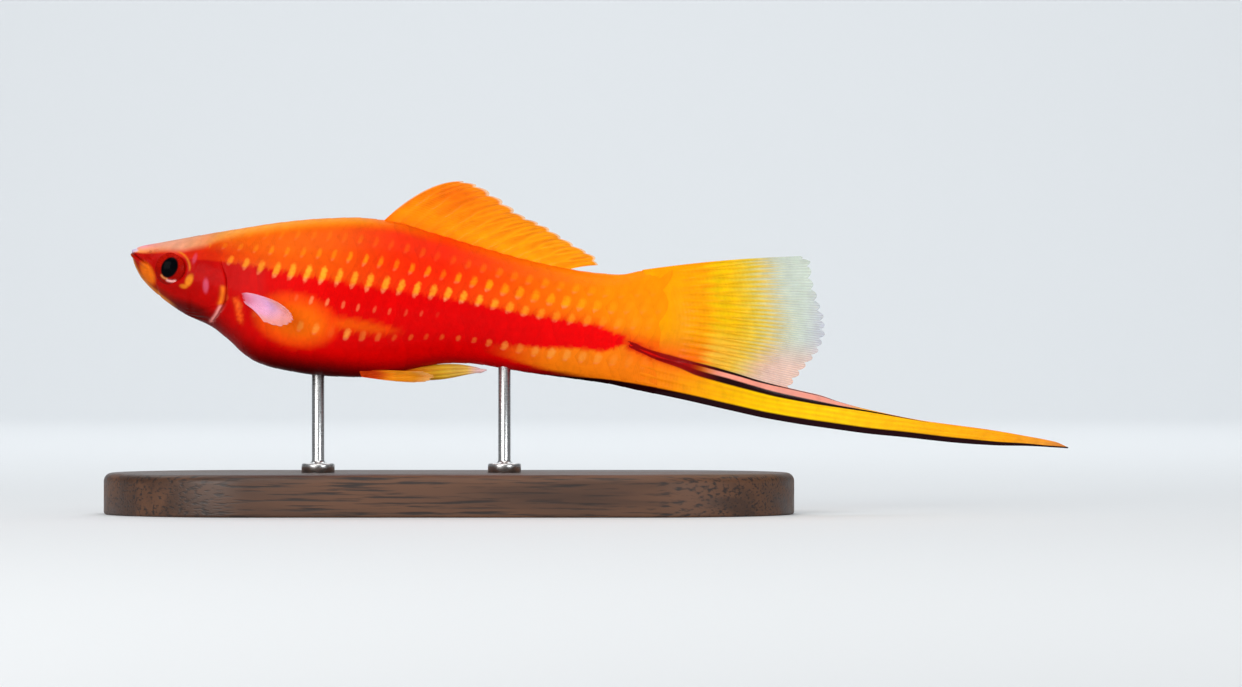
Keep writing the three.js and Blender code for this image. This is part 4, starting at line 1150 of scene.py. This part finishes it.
def paired_middle(fin, side):
    """Rays from a short root on the flank to a curved tip line, arched by bow, that lift away
    from the body as they run out."""
    def middle(r, t):
        reach = edge_reach(r, t, fin["rays"], np.ones(fin["rays"] + 1), fin["notch"])
        x = mix(mix(*fin["root_x"], r), fin["tip_x"](r), reach)
        z = mix(mix(*fin["root_z"], r), fin["tip_z"](r), reach) + fin["bow"](r) * 4 * reach * (1 - reach)
        y = fin["y"] + fin["lift"](r) * reach + fin["curl"] * np.sin(r * 9 + 1) * reach**2
        return np.stack([x, side * y, z], -1)

    return middle


def paired_half(fin):
    """A thin membrane with forking rays that flatten towards the rim."""
    def half(r, t):
        ridge = 0.1 * (1 - 0.7 * t) * ray_height(r * fin["rays"], t, *PAIRED_FORKS)
        return mix(0.12, FIN_RIM, t) + 0.25 * (1 - smooth(t, 0, 0.2)) + ridge

    return half


PECTORAL = dict(
    root_x=(15.9, 16.4), root_z=(-3.75, -4.65), y=flank(15.9, -3.75) - 0.8, rays=11, notch=0.03, curl=0.12,
    tip_x=through((0, 22.4), (0.2, 23.7), (0.4, 24.7), (0.55, 24.95), (0.7, 24.4), (0.85, 22.9), (1, 20.7)),
    tip_z=through((0, -4.35), (0.2, -5), (0.4, -5.85), (0.55, -6.5), (0.7, -7.15), (0.85, -7.7), (1, -7.35)),
    bow=through((0, 0.35), (1, 0.4)), lift=through((0, 4.6), (0.5, 5.4), (1, 3.6)),
)
PELVIC = dict(
    root_x=(35, 35.6), root_z=(-12.3, -13.3), y=1.6, rays=6, notch=0.05, curl=0.06,
    tip_x=through((0, 44.3), (0.45, 46), (0.75, 45.1), (1, 43.2)),
    tip_z=through((0, -11.3), (0.45, -11.8), (0.75, -12.6), (1, -13.05)),
    bow=through((0, 0), (1, -0.12)), lift=through((0, 1.2), (1, 0.8)),
)


def pectoral_paint(r, t, point):
    """Rose at the root, lilac-pink over the blade with a painted lilac-white highlight in its middle, glassy
    and rosy at the rim.
    """
    ray = ray_height(r * PECTORAL["rays"], t, *PAIRED_FORKS)
    colour = over(rgb(228, 96, 130), rgb(238, 160, 196), smooth(t, 0.08, 0.4))
    # painted highlight: a lilac-white patch in the middle of the blade
    colour = over(colour, rgb(216, 176, 226), 0.6 * hump(t - 0.62, 0.2) * hump(r - 0.4, 0.35))
    colour = over(colour, rgb(248, 168, 160), smooth(t, 0.6, 0.95))
    colour = over(colour, rgb(252, 214, 222), 0.35 * ray)
    alpha = 0.94 - 0.5 * smooth(t, 0.55, 1) * (1 - 0.5 * ray)
    return colour, alpha


def pelvic_paint(r, t, point):
    """Gold with orange between the rays, dark red at the root (its own red and painted shade under the
    belly) and a painted pale highlight at the tip.
    """
    ray = ray_height(r * PELVIC["rays"], t, *PAIRED_FORKS)
    # dark red root: its own red and painted shade under the belly
    colour = over(rgb(196, 60, 8), rgb(226, 128, 10), smooth(t, 0.2, 0.5))
    colour = over(colour, rgb(238, 168, 36), 0.7 * ray * smooth(t, 0.3, 0.6))
    # painted highlight: pale tip
    colour = over(colour, rgb(248, 196, 120), 0.6 * smooth(t, 0.75, 1))
    alpha = 1 - 0.35 * smooth(t, 0.4, 1) * (1 - 0.6 * ray)
    return colour, alpha


paired_skin = fin_material("paired_fin_skin", 0.36, 22)
for kind, fin, paint_at, slot in (
    ("pectoral", PECTORAL, pectoral_paint, "pale_fin"),
    ("pelvic", PELVIC, pelvic_paint, "gold_fin"),
):
    for word, side in (("left", -1), ("right", 1)):
        blade = vane(f"{kind}_blade_{word}", paired_middle(fin, side), paired_half(fin),
                     fin["rays"] * 16, 56, paint_at)
        blade.data.materials.append(paired_skin)
        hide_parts(f"{kind}_fin_{word}")

# Gonopodium: the male's anal fin, a slender rod of a few rays folded together, with a small hook
# at its pale tip.
ROD_FROM, ROD_TO = 40.5, 53.4
ROD_SIDES = 72
FLUTES = 10
rod_top = through((40.5, -11.4), (45, -10), (50, -9.3), (53.4, -9.4))
rod_foot = through((40.5, -13), (44, -12.3), (47, -11.7), (51, -10.4), (53.4, -9.65))
along = np.concatenate([np.linspace(0, 0.95, 90), 1 - 0.05 * np.cos(np.linspace(0.1, 1.5, 14))])
turn = np.arange(ROD_SIDES) * 2 * np.pi / ROD_SIDES
t, turn = np.meshgrid(along, turn, indexing="ij")
x = mix(ROD_FROM, ROD_TO, t)
closing = np.sqrt(np.clip(1 - np.clip((t - 0.94) / 0.062, 0, 1) ** 2, 0.0004, 1))
flutes = 1 + 0.09 * np.cos(FLUTES * turn) * smooth(t, 0.1, 0.3)
height = (rod_top(x) - rod_foot(x)) / 2 * closing
hook = 0.12 * hump(t - 0.93, 0.03)
rod_grid = np.stack([
    x, mix(0.62, 0.22, t) * closing * np.sin(turn) * flutes,
    (rod_top(x) + rod_foot(x)) / 2 - 0.3 + height * np.cos(turn) * flutes - hook,
], -1)
rod_ends = np.stack([rod_grid[0].mean(0), rod_grid[-1].mean(0)])
gold = tone(
    (40, 206, 62, 10), (43, 214, 120, 16), (47, 222, 176, 44), (50.5, 232, 190, 90), (52, 248, 208, 206),
    (54, 252, 224, 232),
)
groove = 0.5 + 0.5 * np.cos(FLUTES * np.append(turn, [0, 0]))
colours = over(gold(np.append(x, rod_ends[:, 0])), rgb(176, 84, 10), 0.4 * groove)
gonopodium = tube_piece("anal_rod", rod_grid, rod_ends, colours=colours)
gonopodium.data.materials.append(gold_fin)
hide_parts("gonopodium")

# Stand base: a flat board of dark oiled walnut with round ends. Its foot is barely eased and its
# top edge is rounded over.
base_low, base_high = (np.array(corner) * 1000 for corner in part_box("stand_base"))
base_radius = (base_high[1] - base_low[1]) / 2
base_straight = (base_high[0] - base_low[0]) / 2 - base_radius
FOOT_EASE, TOP_EASE = 0.4, 1.2
BASE_SIDES = 256
TOP_RINGS = [4, 8, 12, 16, 20]
ease = np.linspace(0, np.pi / 2, 9)
inset = np.concatenate([FOOT_EASE * (1 - np.sin(ease)), TOP_EASE * (1 - np.cos(ease)), TOP_RINGS])
base_level = np.concatenate([
    base_low[2] + FOOT_EASE * (1 - np.cos(ease)), base_high[2] - TOP_EASE * (1 - np.sin(ease)),
    np.full(len(TOP_RINGS), base_high[2]),
])
angle = (np.arange(BASE_SIDES) + 0.5) * 2 * np.pi / BASE_SIDES
inset, angle = np.meshgrid(inset, angle, indexing="ij")
base_grid = np.stack([
    np.where(np.cos(angle) > 0, 1, -1) * base_straight + (base_radius - inset) * np.cos(angle),
    (base_radius - inset) * np.sin(angle), base_level[:, None] + 0 * angle,
], -1)

base_ends = [(0, 0, base_low[2]), (0, 0, base_high[2])]
base = tube_piece("base_board", base_grid, base_ends, flip=True, of_fish=False)

walnut, tree, shader = new_material("oiled_walnut", {})
figure = noise(tree, (7.0, 90.0, 90.0), 3.0, distortion=0.5)
year_rings = maths(tree, "SINE", maths(tree, "MULTIPLY", figure, 26.0))
grain = level(tree, year_rings, -1.0, 1.0, 0.0, 1.0)
pore = level(tree, noise(tree, (130.0, 2600.0, 2600.0), 3.0), 0.36, 0.5, 0.0, 1.0)
wood = painted(tree, grain, (*rgb(66, 40, 24), 1), (*rgb(94, 59, 36), 1))
wood = painted(tree, pore, (*rgb(38, 22, 14), 1), wood)
tree.links.new(wood, shader.inputs["Base Color"])
tree.links.new(level(tree, grain, 0.0, 1.0, 0.42, 0.54), shader.inputs["Roughness"])
bumped(tree, shader, pore, 0.4, 0.00005)
base.data.materials.append(walnut)
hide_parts("stand_base")

# Stand rods: brushed steel pins, each with a small turned collar sunk a little into the board,
# set into the fish's belly.
steel, tree, shader = new_material("brushed_steel", {"Metallic": 1.0})
scratches = noise(tree, (500.0, 500.0, 26000.0), 3.0)
tint = level(tree, scratches, 0.0, 1.0, 0.52, 0.72)
grey = add(tree, "CombineColor", {0: tint, 1: tint, 2: tint})
tree.links.new(grey.outputs[0], shader.inputs["Base Color"])
tree.links.new(level(tree, scratches, 0.0, 1.0, 0.2, 0.38), shader.inputs["Roughness"])
bumped(tree, shader, scratches, 0.2, 0.00001)
ROD_RADIUS, COLLAR_RADIUS, COLLAR_HEIGHT = 0.9, 2.4, 1.4
COLLAR_EASE, COLLAR_SWEEP, TIP_EASE = 0.3, 0.5, 0.1
COLLAR_SUNK = 0.05
STAND_ROD_SIDES = 96
bend = np.linspace(0, np.pi / 2, 7)
radii = np.concatenate([
    [COLLAR_RADIUS], COLLAR_RADIUS - COLLAR_EASE * (1 - np.cos(bend)),
    ROD_RADIUS + COLLAR_SWEEP * (1 - np.sin(bend)), [ROD_RADIUS, ROD_RADIUS - TIP_EASE],
])
angle = np.arange(STAND_ROD_SIDES) * 2 * np.pi / STAND_ROD_SIDES
for word in ("front", "rear"):
    low, high = (np.array(corner) * 1000 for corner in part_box(f"stand_rod_{word}"))
    foot = base_high[2] - COLLAR_SUNK
    shoulder = foot + COLLAR_HEIGHT
    levels = np.concatenate([
        [foot], shoulder - COLLAR_EASE * (1 - np.sin(bend)),
        shoulder + COLLAR_SWEEP * (1 - np.cos(bend)), [high[2] - TIP_EASE, high[2]],
    ])
    ring_x = (low[0] + high[0]) / 2 + radii[:, None] * np.cos(angle)
    ring_y = (low[1] + high[1]) / 2 + radii[:, None] * np.sin(angle)
    rod_grid = np.stack([ring_x, ring_y, levels[:, None] + 0 * ring_x], -1)
    middle = rod_grid[0].mean(0)
    rod_ends = [(*middle[:2], levels[0]), (*middle[:2], levels[-1])]
    rod = tube_piece(f"rod_{word}", rod_grid, rod_ends, flip=True, of_fish=False)
    rod.data.materials.append(steel)
    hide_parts(f"stand_rod_{word}")

# Studio: a pale paper sweep that runs back under the stand and up behind it, a wide soft light
# overhead, one at the viewer's left, a weak one low on the right and one that washes the backdrop.
bend = np.linspace(0, np.pi / 2, 25)
SWEEP_RADIUS, SWEEP_START, SWEEP_TOP, SWEEP_REACH = 0.5, 1.25, 2.2, 2.5
run_y = np.concatenate([
    [-SWEEP_REACH, 0.0], SWEEP_START + SWEEP_RADIUS * np.sin(bend), [SWEEP_START + SWEEP_RADIUS],
])
run_z = np.concatenate([[0, 0], SWEEP_RADIUS * (1 - np.cos(bend)), [SWEEP_TOP]])
across = np.array([-SWEEP_REACH, SWEEP_REACH])
sweep_grid = np.stack([
    0 * run_y[:, None] + across, run_y[:, None] + 0 * across, run_z[:, None] + 0 * across,
], -1)
paper_mesh = bpy.data.meshes.new("paper_sweep")
paper_mesh.from_pydata(sweep_grid.reshape(-1, 3).tolist(), [], grid_quads(len(run_y), 2)[:, ::-1].tolist())
paper_mesh.shade_smooth()
paper = bpy.data.objects.new("paper_sweep", paper_mesh)
bpy.context.collection.objects.link(paper)
pale, tree, shader = new_material("pale_paper", {"Base Color": (0.78, 0.8, 0.82, 1), "Roughness": 0.8})
bumped(tree, shader, noise(tree, 900.0, 4.0), 0.1, 0.0001)
paper_mesh.materials.append(pale)


def soft_light(name, at, to, size, watts, colour):
    """A square area light at a place, turned to face another."""
    data = bpy.data.lights.new(name, "AREA")
    data.size = size
    data.energy = watts
    data.color = colour
    light = bpy.data.objects.new(name, data)
    light.location = at
    direction = np.array(to) - np.array(at)
    light.rotation_euler = Vector(direction).to_track_quat("-Z", "Y").to_euler()
    bpy.context.collection.objects.link(light)


soft_light("overhead", (0.02, -0.3, 0.52), (0.02, 0.0, 0.03), 0.35, 1.15, (1.0, 0.98, 0.95))
soft_light("left_front", (-0.4, -0.65, 0.24), (0.01, 0.0, 0.03), 0.42, 3.4, (1.0, 0.99, 0.97))
soft_light("right_low", (0.45, -0.6, 0.06), (0.02, 0.0, 0.03), 0.3, 1.8, (0.95, 0.98, 1.0))
soft_light("backdrop_wash", (0.0, 0.8, 0.95), (0.0, 1.15, 0.0), 1.3, 11.5, (0.97, 0.99, 1.0))
world = bpy.data.worlds.new("room")
world.use_nodes = True
world.node_tree.nodes["Background"].inputs["Color"].default_value = (0.9, 0.95, 1.0, 1)
world.node_tree.nodes["Background"].inputs["Strength"].default_value = 0.2
bpy.context.scene.world = world
bpy.context.scene.view_settings.view_transform = "Standard"
